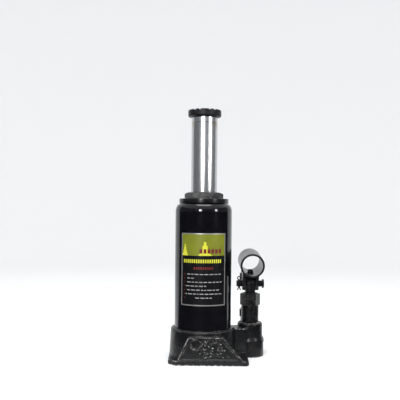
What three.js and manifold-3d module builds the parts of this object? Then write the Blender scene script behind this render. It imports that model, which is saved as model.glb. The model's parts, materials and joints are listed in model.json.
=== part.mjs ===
// A six tonne bottle jack: a hand pump, its oil tank and its ram on one cast base.
// Millimetres, +Z up. The origin is on the underside of the base, on the axis of the ram.
// The pump stands beside the tank, and its handle socket points along -Y.
import * as THREE from "three";
import { mergeVertices } from "three/addons/utils/BufferGeometryUtils.js";
import Module from "manifold-3d";

const wasm = await Module();
wasm.setup();

// ---- driving dimensions ----
const GAP = 0.3; // between pieces that touch
const ROUND = 32; // sides of a large round piece
const SMALL_ROUND = 16; // sides of a small one
const TINY_ROUND = 8; // sides of an oil passage or a cotter

const FOOT = { left: -41, right: 55, depth: 42, rear: 55, thick: 5.5, cut: 9 };
const COLLAR = { r: 39.3, rFoot: 41, top: 39, seat: 34 };
const PANEL = { bottomLeft: -34, bottomRight: 53, topLeft: -17, topRight: 24, top: 33, rim: 3, sunk: 1.2 };
const PUMP = { x: 60, y: 19, top: 42, r: 15.6, rFoot: 17.5, footTop: 23, bore: 9.8, floor: 14 };
const WEB = { top: 36, halfWidth: 14 };

const TANK = { r: 35, wall: 3, shoulder: 181, neckR: 29.4, neckZ: 190.5 };
const CAP = { r: 30.5, bottom: 190.8, top: 197 };
const NUT = { r: 24, top: 204.5, turn: -4 };
const CYLINDER = { r: 23, bore: 19, floor: 13.8, top: 188 };

const RAM = { r: 16, bore: 10.6, top: 297.6, length: 188, grooveDown: 7.5, neckDeep: 4, neckLong: 24 };
const PISTON = { r: 18.7, height: 9 };
const SCREW = { r: 10, length: 120 };
const SADDLE = { r: 20.5, thick: 8, tenon: 5.5, cuts: [-12, -6, 6, 12], cutHalf: 0.9, cutDeep: 1.3 };

const BARREL = { r: 10.9, hexAcross: 22, hexBottom: 63, top: 78.4, bore: 6.3 };
const PLUNGER = { r: 6, tipR: 3, headR: 8.7, flat: 5.9, bottom: 27 };
const LEVER = { pinZ: 90.4, pinR: 4, arm: 22, armRise: 16.5, earThick: 4, earGap: 6.2, lobe: 8.4 };
const SOCKET = { r: 15, bore: 12.5, length: 54, z: 116.6, droop: 4, x: 0.8 };
const LINK = { footZ: 50, half: 5, lobe: 6, forkLobe: 7.5, forkEar: 5 };
const VALVE = { y: 43, z: 14.5, bossR: 10, bossEnd: 73, stem: 5, seat: 38 };
const PASSAGE = { z: 18, r: 2.4, chamberR: 4.3, chamberFrom: 28, chamberTo: 42, plugR: 4, plugAt: 76 };
const INTAKE = { z: 27, r: 2, wellReach: 27.5, ballReach: 47 };
const FRONT_PLUG = { x: -8, z: 25.5, r: 5.7, floor: 27 };
const FILLER = { z: 160, r: 5, headR: 7.5 };
const LABEL = { bottom: 69, top: 155.5, halfAngle: 48, thick: 0.5 };
const RIVET = { r: 3.5, stem: 2.5, rise: 4.2 };
const COTTER = { r: 1, inset: 3.4, eyeR: 1.9 };
const RIVETED = { headR: 5.2, inner: 10.6, outer: 11.8, chamfer: 0.4 };
const EYE = { reach: 1.3, play: 0.5 };

const radians = THREE.MathUtils.degToRad;
const pumpAngle = Math.atan2(PUMP.y, PUMP.x);
const pumpReach = Math.hypot(PUMP.x, PUMP.y);
const fulcrumY = PUMP.y + LEVER.arm * Math.cos(radians(LEVER.armRise));
const fulcrumZ = LEVER.pinZ + LEVER.arm * Math.sin(radians(LEVER.armRise));

// ---- solids ----
function solidOf(geometry) {
  const bare = geometry.index ? geometry.toNonIndexed() : geometry.clone();
  bare.deleteAttribute("normal");
  bare.deleteAttribute("uv");
  const merged = mergeVertices(bare, 1e-3);
  const vertProperties = merged.attributes.position.array;
  const corners = merged.index.array;
  const kept = [];
  for (let i = 0; i < corners.length; i += 3) {
    const [a, b, c] = corners.slice(i, i + 3);
    if (a !== b && b !== c && c !== a) kept.push(a, b, c);
  }
  const triVerts = new Uint32Array(kept);
  return new wasm.Manifold(new wasm.Mesh({ numProp: 3, vertProperties, triVerts }));
}

function geometryOf(solid) {
  const mesh = solid.getMesh();
  const geometry = new THREE.BufferGeometry();
  geometry.setAttribute("position", new THREE.BufferAttribute(mesh.vertProperties, 3));
  geometry.setIndex(new THREE.BufferAttribute(mesh.triVerts, 1));
  return geometry;
}

// A profile of [radius, height] pairs, listed upwards on its outer side, turned about Z.
function turned(profile, sides = ROUND) {
  const points = profile.map(([r, z]) => new THREE.Vector2(r, z));
  const geometry = new THREE.LatheGeometry(points, sides);
  return solidOf(geometry.rotateX(Math.PI / 2));
}

function rod(r, bottom, top, sides = ROUND) {
  return turned([[0, bottom], [r, bottom], [r, top], [0, top]], sides);
}

// A round piece whose two end edges are cut back.
function chamferedRod(r, bottom, top, cut, sides = ROUND) {
  const corners = [[r - cut, bottom], [r, bottom + cut], [r, top - cut], [r - cut, top]];
  return turned([[0, bottom], ...corners, [0, top]], sides);
}

function ring(inner, outer, bottom, top, sides = ROUND) {
  return turned([[inner, bottom], [outer, bottom], [outer, top], [inner, top], [inner, bottom]], sides);
}

function ball(r, x, y, z) {
  return solidOf(new THREE.SphereGeometry(r, 10, 6)).translate([x, y, z]);
}

function block(x0, x1, y0, y1, z0, z1) {
  const box = new THREE.BoxGeometry(x1 - x0, y1 - y0, z1 - z0);
  return solidOf(box).translate([(x0 + x1) / 2, (y0 + y1) / 2, (z0 + z1) / 2]);
}

// An outline of [x, y] points, extruded from bottom to top along Z.
function prism(outline, bottom, top) {
  const shape = new THREE.Shape(outline.map(([x, y]) => new THREE.Vector2(x, y)));
  const geometry = new THREE.ExtrudeGeometry(shape, { depth: top - bottom, bevelEnabled: false });
  return solidOf(geometry).translate([0, 0, bottom]);
}

// A plate that lies across X, with an outline of [y, z] points.
function plateAcrossX(outline, x0, x1) {
  return prism(outline, x0, x1).rotate([90, 0, 90]);
}

// A plate that lies across Y, with an outline of [x, z] points.
function plateAcrossY(outline, y0, y1) {
  return prism(outline, -y1, -y0).rotate([90, 0, 0]);
}

function rodAlongX(r, x0, x1, y, z, sides = SMALL_ROUND) {
  return rod(r, x0, x1, sides).rotate([0, 90, 0]).translate([0, y, z]);
}

// A round bar from one point to another.
function rodBetween(from, to, r, sides = SMALL_ROUND) {
  const start = new THREE.Vector3(...from);
  const way = new THREE.Vector3(...to).sub(start);
  const geometry = new THREE.CylinderGeometry(r, r, way.length(), sides);
  const turn = new THREE.Quaternion().setFromUnitVectors(new THREE.Vector3(0, 1, 0), way.clone().normalize());
  geometry.translate(0, way.length() / 2, 0).applyQuaternion(turn);
  return solidOf(geometry.translate(...from));
}

// The outline round two circles of one radius, such as a link.
function lobed([y0, z0], [y1, z1], r, steps = 8) {
  const along = Math.atan2(z1 - z0, y1 - y0);
  const arc = (y, z, start) =>
    Array.from({ length: steps + 1 }, (_, i) => {
      const a = start + (Math.PI * i) / steps;
      return [y + r * Math.cos(a), z + r * Math.sin(a)];
    });
  return [...arc(y0, z0, along + Math.PI / 2), ...arc(y1, z1, along - Math.PI / 2)];
}

function hexPrism(acrossFlats, bottom, top, turn = 0) {
  const r = acrossFlats / 2 / Math.cos(Math.PI / 6);
  const corners = Array.from({ length: 6 }, (_, i) => {
    const a = radians(60 * i + turn);
    return [r * Math.cos(a), r * Math.sin(a)];
  });
  return prism(corners, bottom, top);
}

// A hexagon whose top corners are turned off to a cone, as on a nut.
function nutBlank(acrossFlats, bottom, top, turn = 0) {
  const corner = acrossFlats / 2 / Math.cos(Math.PI / 6);
  const flat = acrossFlats / 2;
  const crown = turned([
    [0, bottom], [corner + 1, bottom], [corner + 1, top - (corner + 1 - flat) * 0.58], [flat, top], [0, top],
  ]);
  return hexPrism(acrossFlats, bottom, top, turn).intersect(crown);
}

// ---- materials ----
function paint(color, roughness, metalness) {
  return new THREE.MeshStandardMaterial({ color, roughness, metalness });
}
const finish = {
  casting: paint(0x0e0f12, 0.45, 0.1),
  enamel: paint(0x08090c, 0.18, 0.1),
  blackened: paint(0x141416, 0.4, 0.6),
  chrome: paint(0xb9bcc0, 0.12, 1),
  steel: paint(0x9a9da1, 0.3, 1),
  bronze: paint(0xa9783f, 0.35, 1),
  copper: paint(0xb06a42, 0.35, 1),
  rubber: paint(0x17171a, 0.8, 0),
  urethane: paint(0xb7452c, 0.5, 0),
  fibre: paint(0x4b4d45, 0.9, 0),
  label: paint(0x5d6b1f, 0.4, 0),
};

const jack = new THREE.Group();
function add(name, solid, material) {
  const mesh = new THREE.Mesh(geometryOf(solid), material);
  mesh.name = name;
  jack.add(mesh);
}

// From the Z axis to the pump's axis, and from the X axis to the line through both.
function atPump(solid) {
  return solid.translate([PUMP.x, PUMP.y, 0]);
}
function alongPump(solid) {
  return solid.rotate([0, 0, THREE.MathUtils.radToDeg(pumpAngle)]);
}

// ---- base casting ----
function footOutline() {
  const { left, right, depth, rear, cut } = FOOT;
  return [
    [left + cut, -depth], [right - 4, -depth], [right, -depth + 4], [right, rear - 6],
    [right - 8, rear], [30, rear], [22, depth], [left + cut, depth],
    [left, depth - cut], [left, -depth + cut],
  ];
}

function collar() {
  const { r, rFoot, top } = COLLAR;
  return turned([[0, 0], [rFoot, 0], [r, top - 2.5], [r - 0.8, top - 0.8], [r - 2.5, top], [0, top]]);
}

// The flat cast panel on the front and on the back, with a raised rim round a sunk field.
function castPanel(side) {
  const { bottomLeft, bottomRight, topLeft, topRight, top, rim, sunk } = PANEL;
  const face = FOOT.depth - 0.5;
  const thick = 16;
  const outer = [[bottomLeft, 0], [bottomRight, 0], [topRight, top], [topLeft, top]];
  const inner = [
    [bottomLeft + 2.4 * rim, FOOT.thick + 1.5], [bottomRight - 3 * rim, FOOT.thick + 1.5],
    [topRight - rim, top - rim], [topLeft + rim, top - rim],
  ];
  const near = side * (face - thick);
  const far = side * face;
  const slab = plateAcrossY(outer, Math.min(near, far), Math.max(near, far));
  const fieldFloor = side * (face - sunk);
  const field = plateAcrossY(inner, Math.min(fieldFloor, far + side), Math.max(fieldFloor, far + side));
  return slab.subtract(field).intersect(prism(footOutline(), 0, top + 1));
}

function pumpBoss() {
  const { top, r, rFoot, footTop } = PUMP;
  const profile = [
    [0, 0], [rFoot, 0], [rFoot, footTop - 3], [r + 0.5, footTop],
    [r, top - 2.2], [r - 0.7, top - 0.7], [r - 2.2, top], [0, top],
  ];
  return atPump(turned(profile));
}

function webToPump() {
  const { top, halfWidth } = WEB;
  return alongPump(block(20, pumpReach, -halfWidth, halfWidth, 0, top));
}

// The back of the nose carries the release valve, and a fork for the foot of the link.
function valveNose() {
  const body = block(18, 62, 20, VALVE.y + 8, 0, 26);
  const boss = rodAlongX(VALVE.bossR, 30, VALVE.bossEnd, VALVE.y, VALVE.z, ROUND);
  return body.add(boss);
}

function linkFork() {
  const { footZ, half, forkLobe, forkEar } = LINK;
  const inner = half + GAP;
  const outline = lobed([fulcrumY, FOOT.thick + 8], [fulcrumY, footZ], forkLobe);
  const ears = plateAcrossX(outline, PUMP.x - inner - forkEar, PUMP.x + inner + forkEar);
  const gap = block(PUMP.x - inner, PUMP.x + inner, fulcrumY - 12, fulcrumY + 12, footZ - 10, footZ + 20);
  const pinHole = rodAlongX(LEVER.pinR + GAP, PUMP.x - 20, PUMP.x + 20, fulcrumY, footZ);
  return ears.subtract(gap).subtract(pinHole);
}

// A point on the line from the ram's axis to the pump's.
function alongPumpLine(reach, z) {
  return [reach * Math.cos(pumpAngle), reach * Math.sin(pumpAngle), z];
}

// The oil ways: pump to cylinder, tank to pump, and cylinder back to tank past the release valve.
function basePassages() {
  const { z, r, chamberR, chamberFrom, chamberTo, plugR, plugAt } = PASSAGE;
  const wellTop = alongPumpLine(INTAKE.wellReach, COLLAR.top);
  const wellFoot = alongPumpLine(INTAKE.wellReach, INTAKE.z - 1);
  const intakeFrom = alongPumpLine(INTAKE.wellReach - 1, INTAKE.z);
  const ballFrom = alongPumpLine(INTAKE.ballReach - 3.4, INTAKE.z);
  const pumpCentre = alongPumpLine(pumpReach, INTAKE.z);
  return [
    rodBetween(alongPumpLine(16, z), alongPumpLine(90, z), r, TINY_ROUND),
    rodBetween(alongPumpLine(chamberFrom, z), alongPumpLine(chamberTo, z), chamberR, TINY_ROUND),
    rodBetween(alongPumpLine(plugAt - 5, z), alongPumpLine(90, z), plugR + GAP),
    rodBetween(wellTop, wellFoot, r, TINY_ROUND),
    rodBetween(intakeFrom, pumpCentre, INTAKE.r, TINY_ROUND),
    rodBetween(ballFrom, pumpCentre, 3.3, TINY_ROUND),
    rodAlongX(VALVE.stem + GAP, VALVE.seat, 100, VALVE.y, VALVE.z),
    rodAlongX(2, VALVE.seat - 12, VALVE.seat + 1, VALVE.y, VALVE.z, TINY_ROUND),
    rodBetween([VALVE.seat - 11, VALVE.y, VALVE.z], [4, 8, CYLINDER.floor + 0.5], 1.6, TINY_ROUND),
  ];
}

function frontPlugBore() {
  const { x, z, r, floor } = FRONT_PLUG;
  return rodBetween([x, -60, z], [x, -floor, z], r + GAP);
}

function baseCasting() {
  const bores = [
    rod(CYLINDER.r + 0.5, CYLINDER.floor - 1.3, COLLAR.top + 1),
    rod(TANK.r + 0.4, COLLAR.seat, COLLAR.top + 1),
    atPump(rod(PUMP.bore, PUMP.floor, LINK.footZ + 30)),
    frontPlugBore(),
    ...basePassages(),
  ];
  const footPlate = prism(footOutline(), 0, FOOT.thick);
  const lumps = [collar(), castPanel(-1), castPanel(1), webToPump(), pumpBoss(), valveNose(), linkFork()];
  const solid = lumps.reduce((whole, lump) => whole.add(lump), footPlate);
  return bores.reduce((whole, bore) => whole.subtract(bore), solid);
}
add("base_casting", baseCasting(), finish.casting);

// ---- tank, cap and gland nut ----
const gasketTop = COLLAR.seat + 1.8;
const tankBottom = gasketTop + GAP;
const neckBore = CYLINDER.r + 1.2;
function tankShell() {
  const { r, wall, shoulder, neckR, neckZ } = TANK;
  const steps = 4;
  const bend = (radius, height) =>
    Array.from({ length: steps + 1 }, (_, i) => {
      const a = (Math.PI / 2) * (i / steps);
      return [neckR + (radius - neckR) * Math.cos(a), shoulder + height * Math.sin(a)];
    });
  const outside = bend(r, neckZ - shoulder);
  const inside = bend(r - wall, neckZ - shoulder - wall).reverse();
  const profile = [
    [r - wall, tankBottom], [r, tankBottom], ...outside,
    [neckBore, neckZ], [neckBore, neckZ - wall], ...inside, [r - wall, tankBottom],
  ];
  const fillerHole = rodBetween([0, 0, FILLER.z], [0, 60, FILLER.z], FILLER.r + GAP);
  return turned(profile).subtract(fillerHole);
}
add("tank_shell", tankShell(), finish.enamel);
add("tank_base_gasket", ring(CYLINDER.r + 3, TANK.r, COLLAR.seat + GAP, gasketTop), finish.fibre);

function fillerPlug() {
  const { z, r, headR } = FILLER;
  const stem = rodBetween([0, TANK.r - 6, z], [0, TANK.r + 1, z], r);
  const head = rodBetween([0, TANK.r + GAP, z], [0, TANK.r + 4, z], headR);
  return stem.add(head);
}
add("filler_plug", fillerPlug(), finish.rubber);

// The label is a thin curved sheet on the front of the tank.
function dataLabel() {
  const { bottom, top, halfAngle, thick } = LABEL;
  const sheet = ring(TANK.r + GAP, TANK.r + GAP + thick, bottom, top);
  const reach = 60;
  const across = reach * Math.sin(radians(halfAngle));
  const out = -reach * Math.cos(radians(halfAngle));
  const wedge = [[0, 0], [-across, out], [0, -2 * reach], [across, out]];
  return sheet.intersect(prism(wedge, bottom - 1, top + 1));
}
add("data_label", dataLabel(), finish.label);

function topCap() {
  const { r, bottom, top } = CAP;
  return turned([
    [neckBore, bottom], [r - 0.8, bottom], [r, bottom + 1], [r, top - 1],
    [r - 1, top], [neckBore, top], [neckBore, bottom],
  ]);
}
add("top_cap", topCap(), finish.enamel);

const sealSeat = { bottom: 189.5, top: 195.1, deep: 2.8 };
const wiperDeep = 3.6;
const bushTop = 176;
const skirtBottom = 166;
function glandNut() {
  const crown = nutBlank(2 * NUT.r * Math.cos(Math.PI / 6), CAP.top + GAP, NUT.top, NUT.turn);
  const skirt = rod(CYLINDER.bore - 0.6, skirtBottom, CAP.top + 1);
  const thread = rod(CYLINDER.r + 0.6, CYLINDER.top + GAP, CAP.top + 1);
  const bores = [
    rod(RAM.r + 0.3, skirtBottom - 1, NUT.top + 1),
    rod(RAM.r + 1.5, skirtBottom - 1, bushTop),
    rod(RAM.r + sealSeat.deep, sealSeat.bottom, sealSeat.top),
    rod(RAM.r + 2.6, NUT.top - wiperDeep, NUT.top + 1),
  ];
  return bores.reduce((whole, bore) => whole.subtract(bore), crown.add(skirt).add(thread));
}
add("gland_nut", glandNut(), finish.casting);
function roundRam(outerDeep, bottom, top) {
  return ring(RAM.r + 0.2, RAM.r + outerDeep, bottom, top);
}
add("gland_guide_bush", roundRam(1.2, skirtBottom, bushTop - GAP), finish.bronze);
const rodSeal = roundRam(sealSeat.deep - GAP, sealSeat.bottom + GAP, sealSeat.top - GAP);
add("ram_rod_seal", rodSeal, finish.urethane);
add("ram_wiper_ring", roundRam(2.3, NUT.top - wiperDeep + GAP, NUT.top + 0.4), finish.rubber);

const innerCylinder = ring(CYLINDER.bore, CYLINDER.r, CYLINDER.floor + GAP, CYLINDER.top);
const baseWasher = ring(CYLINDER.bore + 0.5, CYLINDER.r, CYLINDER.floor - 1, CYLINDER.floor);
add("inner_cylinder", innerCylinder, finish.steel);
add("cylinder_base_washer", baseWasher, finish.copper);

// ---- ram, piston and extension screw ----
const ramBottom = RAM.top - RAM.length;
function ramRod() {
  const { r, bore, top, grooveDown, neckDeep, neckLong } = RAM;
  const groove = top - grooveDown;
  const boreFloor = top - SCREW.length - 4;
  return turned([
    [0, ramBottom], [r - neckDeep, ramBottom],
    [r - neckDeep, ramBottom + neckLong], [r, ramBottom + neckLong],
    [r, groove - 0.6], [r - 0.7, groove - 0.3], [r - 0.7, groove + 0.3], [r, groove + 0.6],
    [r, top - 0.8], [r - 0.8, top], [bore, top], [bore, boreFloor], [0, boreFloor],
  ]);
}
add("ram_rod", ramRod(), finish.chrome);
const rodNeck = RAM.r - RAM.neckDeep + GAP;
const pistonTop = ramBottom + RAM.neckLong - GAP;
const pistonBottom = pistonTop - PISTON.height;
add("piston_head", ring(rodNeck, PISTON.r, pistonBottom, pistonTop), finish.steel);
function pistonCup() {
  const top = pistonBottom - GAP;
  const bottom = top - 6.5;
  const profile = [
    [rodNeck, top - 3], [rodNeck + 2.5, top - 3], [PISTON.r - 1.4, bottom],
    [PISTON.r, bottom], [PISTON.r, top], [rodNeck, top], [rodNeck, top - 3],
  ];
  return turned(profile);
}
add("piston_cup_seal", pistonCup(), finish.urethane);
const retainerTop = pistonBottom - 3 - 2 * GAP;
add("piston_cup_spreader", ring(rodNeck, rodNeck + 2, retainerTop - 4, retainerTop), finish.steel);
const nutTop = retainerTop - 4 - GAP;
const retainingNut = nutBlank(30, ramBottom + 0.2, nutTop).subtract(rod(rodNeck, ramBottom, pistonTop));
add("piston_retaining_nut", retainingNut, finish.steel);

const screwTop = RAM.top + GAP;
const tenonTop = screwTop + SADDLE.thick - 3;
function extensionScrew() {
  const { r, length } = SCREW;
  const foot = screwTop - length;
  return turned([
    [0, foot], [r - 1.5, foot], [r, foot + 1.5], [r, screwTop],
    [SADDLE.tenon, screwTop], [SADDLE.tenon, tenonTop], [0, tenonTop],
  ]);
}
add("extension_screw", extensionScrew(), finish.steel);

function saddle() {
  const { r, thick, tenon, cuts, cutHalf, cutDeep } = SADDLE;
  const bottom = screwTop + GAP;
  const top = bottom + thick;
  const disc = chamferedRod(r, bottom, top, 1.4, ROUND);
  const socket = rod(tenon + GAP, bottom - 1, tenonTop + GAP);
  const grooves = cuts.flatMap((at) => [
    block(at - cutHalf, at + cutHalf, -30, 30, top - cutDeep, top + 1),
    block(-30, 30, at - cutHalf, at + cutHalf, top - cutDeep, top + 1),
  ]);
  return grooves.reduce((whole, groove) => whole.subtract(groove), disc.subtract(socket));
}
add("saddle", saddle(), finish.blackened);

// ---- pump barrel and plunger ----
const barrelFoot = PUMP.floor + 1.6;
function pumpBarrel() {
  const { r, hexAcross, hexBottom, top, bore } = BARREL;
  const shankR = PUMP.bore - GAP;
  const sleeve = turned([
    [0, barrelFoot], [shankR, barrelFoot], [shankR, PUMP.top + GAP],
    [r, PUMP.top + GAP], [r, hexBottom + 1], [0, hexBottom + 1],
  ]);
  const hexagon = nutBlank(hexAcross, hexBottom, top);
  const chamber = rod(bore, barrelFoot - 1, top + 1, SMALL_ROUND);
  const sealSeat = rod(bore + 2.6, 70, 75, SMALL_ROUND);
  const wiperSeat = rod(bore + 2.2, top - 2.4, top + 1, SMALL_ROUND);
  const ports = [
    alongPump(rodBetween([-30, 0, INTAKE.z], [0, 0, INTAKE.z], 1.6, TINY_ROUND)),
    alongPump(rodBetween([-30, 0, PASSAGE.z], [30, 0, PASSAGE.z], 1.4, TINY_ROUND)),
  ];
  const cuts = [chamber, sealSeat, wiperSeat, ...ports];
  return atPump(cuts.reduce((whole, cut) => whole.subtract(cut), sleeve.add(hexagon)));
}
add("pump_barrel", pumpBarrel(), finish.casting);
function ringAtPump(inner, outer, bottom, top) {
  return atPump(ring(inner, outer, bottom, top, SMALL_ROUND));
}
const barrelWasher = ringAtPump(BARREL.bore, PUMP.bore - GAP, PUMP.floor + GAP, barrelFoot - GAP);
const plungerSeal = ringAtPump(PLUNGER.r + 0.2, BARREL.bore + 2.3, 70.3, 74.7);
const plungerWiper = ringAtPump(PLUNGER.r + 0.2, BARREL.bore + 1.9, BARREL.top - 2.1, BARREL.top + 0.4);
add("pump_barrel_washer", barrelWasher, finish.copper);
add("pump_rod_seal", plungerSeal, finish.urethane);
add("pump_wiper_ring", plungerWiper, finish.rubber);

// The plunger's eye is a slot across the stroke, because the lever pin swings on an arc.
function pumpPlunger() {
  const headBottom = BARREL.top + 0.9;
  const { r, headR, flat, bottom } = PLUNGER;
  const crownCore = rodAlongX(headR - 0.4, -10, 10, 0, LEVER.pinZ, ROUND);
  const round = rod(headR, headBottom, LEVER.pinZ + 12);
  const crown = crownCore.add(block(-10, 10, -20, 20, headBottom, LEVER.pinZ)).intersect(round);
  const flats = block(-flat, flat, -20, 20, headBottom - 1, LEVER.pinZ + 20);
  const eyeR = LEVER.pinR + EYE.play;
  const eye = rodAlongX(eyeR, -12, 12, -EYE.reach, LEVER.pinZ)
    .add(rodAlongX(eyeR, -12, 12, EYE.reach, LEVER.pinZ))
    .add(block(-12, 12, -EYE.reach, EYE.reach, LEVER.pinZ - eyeR, LEVER.pinZ + eyeR));
  const stem = rod(r, bottom + 6, headBottom + 1, SMALL_ROUND);
  const tip = rod(PLUNGER.tipR, bottom, bottom + 7, SMALL_ROUND);
  return atPump(crown.intersect(flats).add(stem).add(tip).subtract(eye));
}
add("pump_plunger", pumpPlunger(), finish.blackened);
const cupSeal = ringAtPump(PLUNGER.tipR + GAP, PLUNGER.r + 0.1, PLUNGER.bottom + 0.5, PLUNGER.bottom + 5.7);
add("plunger_cup_seal", cupSeal, finish.urethane);

// ---- handle socket and its pins ----
function socketCylinder(r, extra = 0) {
  const half = SOCKET.length / 2 + extra;
  return rod(r, -half, half)
    .rotate([90 + SOCKET.droop, 0, 0])
    .translate([PUMP.x + SOCKET.x, PUMP.y, SOCKET.z]);
}
function socketTube() {
  const rivetHole = atPump(rod(RIVET.stem + GAP, SOCKET.z - 20, SOCKET.z, SMALL_ROUND));
  return socketCylinder(SOCKET.r).subtract(socketCylinder(SOCKET.bore, 5)).subtract(rivetHole);
}
add("socket_tube", socketTube(), finish.casting);

function socketEar(side) {
  const rear = [fulcrumY, fulcrumZ];
  const pin = [PUMP.y, LEVER.pinZ];
  const inner = PUMP.x + side * LEVER.earGap;
  const outer = inner + side * LEVER.earThick;
  const [x0, x1] = [Math.min(inner, outer), Math.max(inner, outer)];
  const arm = plateAcrossX(lobed(pin, rear, LEVER.lobe), x0, x1);
  const cheek = [
    [PUMP.y - LEVER.lobe, LEVER.pinZ], [PUMP.y + LEVER.lobe, LEVER.pinZ - 2], [fulcrumY + 6, fulcrumZ],
    [fulcrumY - 2, SOCKET.z - 8], [PUMP.y - 16, SOCKET.z - 8], [PUMP.y - 14, SOCKET.z - 13],
  ];
  const plate = arm.add(plateAcrossX(cheek, x0, x1)).subtract(socketCylinder(SOCKET.r + GAP, 10));
  const holes = [pin, rear].map(([y, z]) => rodAlongX(LEVER.pinR + GAP, x0 - 5, x1 + 5, y, z));
  return holes.reduce((whole, hole) => whole.subtract(hole), plate);
}
add("socket_ear_left", socketEar(-1), finish.casting);
add("socket_ear_right", socketEar(1), finish.casting);

function handleStopRivet() {
  const floor = SOCKET.z - SOCKET.bore;
  const stem = rod(RIVET.stem, floor - 2.6, floor + 1, SMALL_ROUND);
  const head = chamferedRod(RIVET.r, floor + GAP, floor + RIVET.rise, 0.9, SMALL_ROUND);
  return atPump(stem.add(head));
}
add("handle_stop_rivet", handleStopRivet(), finish.blackened);

// A clevis pin with a flat head on the right, and a cross hole for a cotter on the left.
function clevisPin(y, z, left, right) {
  const shank = rodAlongX(LEVER.pinR - 0.1, PUMP.x + left, PUMP.x + right, y, z);
  const head = rodAlongX(5.6, PUMP.x + right - 0.2, PUMP.x + right + 2.2, y, z);
  const cross = rod(COTTER.r + GAP, -12, 12, TINY_ROUND).translate([PUMP.x + left + COTTER.inset, y, z]);
  return shank.add(head).subtract(cross);
}
// A cotter pin: an eye above the clevis pin, and legs that run down through it and part.
function cotterPin(y, z, left) {
  const x = PUMP.x + left + COTTER.inset;
  const top = z + LEVER.pinR + 0.8;
  const spreadZ = z - LEVER.pinR - 1.2;
  const eye = solidOf(new THREE.TorusGeometry(COTTER.eyeR, COTTER.r - 0.15, 5, 10))
    .rotate([90, 0, 0])
    .translate([x, y, top + COTTER.eyeR]);
  const shank = rod(COTTER.r, spreadZ - 0.3, top + 0.4, TINY_ROUND).translate([x, y, 0]);
  const leg = (aside, drop) =>
    rodBetween([x, y, spreadZ], [x + aside, y, spreadZ - drop], COTTER.r * 0.75, TINY_ROUND);
  return eye.add(shank).add(leg(-1.9, 3.6)).add(leg(1.9, 3.2));
}
// A pin peened at both ends, with a low chamfered head on each side.
function rivetedPin(y, z) {
  const shank = LEVER.pinR - 0.1;
  const { headR, inner, outer, chamfer } = RIVETED;
  const profile = [
    [0, -outer], [headR - chamfer, -outer], [headR, -outer + chamfer], [headR, -inner],
    [shank, -inner], [shank, inner], [headR, inner], [headR, outer - chamfer],
    [headR - chamfer, outer], [0, outer],
  ];
  return turned(profile, ROUND).rotate([0, 90, 0]).translate([PUMP.x, y, z]);
}
const plungerPin = { left: -17.5, right: 15 };
add(
  "plunger_pin",
  clevisPin(PUMP.y, LEVER.pinZ, plungerPin.left, plungerPin.right),
  finish.blackened,
);
add("plunger_cotter", cotterPin(PUMP.y, LEVER.pinZ, plungerPin.left), finish.steel);
add("fulcrum_pin", rivetedPin(fulcrumY, fulcrumZ), finish.blackened);
add("link_pin", rivetedPin(fulcrumY, LINK.footZ), finish.blackened);

function linkBar() {
  const foot = [fulcrumY, LINK.footZ];
  const head = [fulcrumY, fulcrumZ];
  const bar = plateAcrossX(lobed(foot, head, LINK.lobe), PUMP.x - LINK.half, PUMP.x + LINK.half);
  const holes = [foot, head].map(([y, z]) => rodAlongX(LEVER.pinR + 0.2, PUMP.x - 9, PUMP.x + 9, y, z));
  return holes.reduce((whole, hole) => whole.subtract(hole), bar);
}
add("link_bar", linkBar(), finish.casting);

// ---- valves and plugs in the base ----
function releaseValve() {
  const { stem, seat, bossEnd } = VALVE;
  const end = bossEnd + 6.3;
  const profile = [
    [0, seat + 4.8], [1.5, seat + 4.8], [stem, seat + 8.5], [stem, bossEnd - 12],
    [stem - 1.4, bossEnd - 12], [stem - 1.4, bossEnd - 8.6], [stem, bossEnd - 8.6],
    [stem, end - 0.8], [stem - 0.8, end], [0, end],
  ];
  const shaft = turned(profile, SMALL_ROUND);
  const slot = block(-1.3, 1.3, -10, 10, bossEnd + 2.5, bossEnd + 8);
  return shaft.subtract(slot).rotate([0, 90, 0]).translate([0, VALVE.y, VALVE.z]);
}
add("release_valve_screw", releaseValve(), finish.steel);
const valveSealAt = VALVE.bossEnd - 10.3;
add(
  "release_valve_seal",
  ring(VALVE.stem - 1.1, VALVE.stem + 0.1, valveSealAt - 1.3, valveSealAt + 1.3, SMALL_ROUND)
    .rotate([0, 90, 0])
    .translate([0, VALVE.y, VALVE.z]),
  finish.rubber,
);
add("release_ball", ball(2.6, VALVE.seat + 2.1, VALVE.y, VALVE.z), finish.steel);
add("discharge_ball", ball(3.4, ...alongPumpLine(PASSAGE.chamberTo - 3.6, PASSAGE.z)), finish.steel);
add("intake_ball", ball(2.7, ...alongPumpLine(INTAKE.ballReach - 0.5, INTAKE.z)), finish.steel);

// The spring that holds the discharge ball on its seat.
function dischargeSpring() {
  const turns = 3.5;
  const length = 6;
  const wire = 0.45;
  const coilR = 2.6;
  const steps = 28;
  const points = Array.from({ length: steps + 1 }, (_, i) => {
    const a = (2 * Math.PI * turns * i) / steps;
    return new THREE.Vector3(coilR * Math.cos(a), coilR * Math.sin(a), (length * i) / steps);
  });
  const section = new THREE.Shape();
  section.absarc(0, 0, wire, 0, 2 * Math.PI);
  const path = new THREE.CatmullRomCurve3(points);
  const coil = new THREE.ExtrudeGeometry(section, { steps: 36, curveSegments: 2, extrudePath: path });
  const lying = solidOf(coil).rotate([0, 90, 0]).translate([PASSAGE.chamberFrom + 0.8, 0, PASSAGE.z]);
  return alongPump(lying);
}
add("discharge_spring", dischargeSpring(), finish.steel);

function passagePlug() {
  const face = pumpReach + PUMP.rFoot + 0.4;
  const keyway = hexPrism(4, face - 2.9, face + 1);
  const plug = rod(PASSAGE.plugR, PASSAGE.plugAt, face, SMALL_ROUND).subtract(keyway);
  return alongPump(plug.rotate([0, 90, 0]).translate([0, 0, PASSAGE.z]));
}
add("passage_plug", passagePlug(), finish.blackened);

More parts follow.
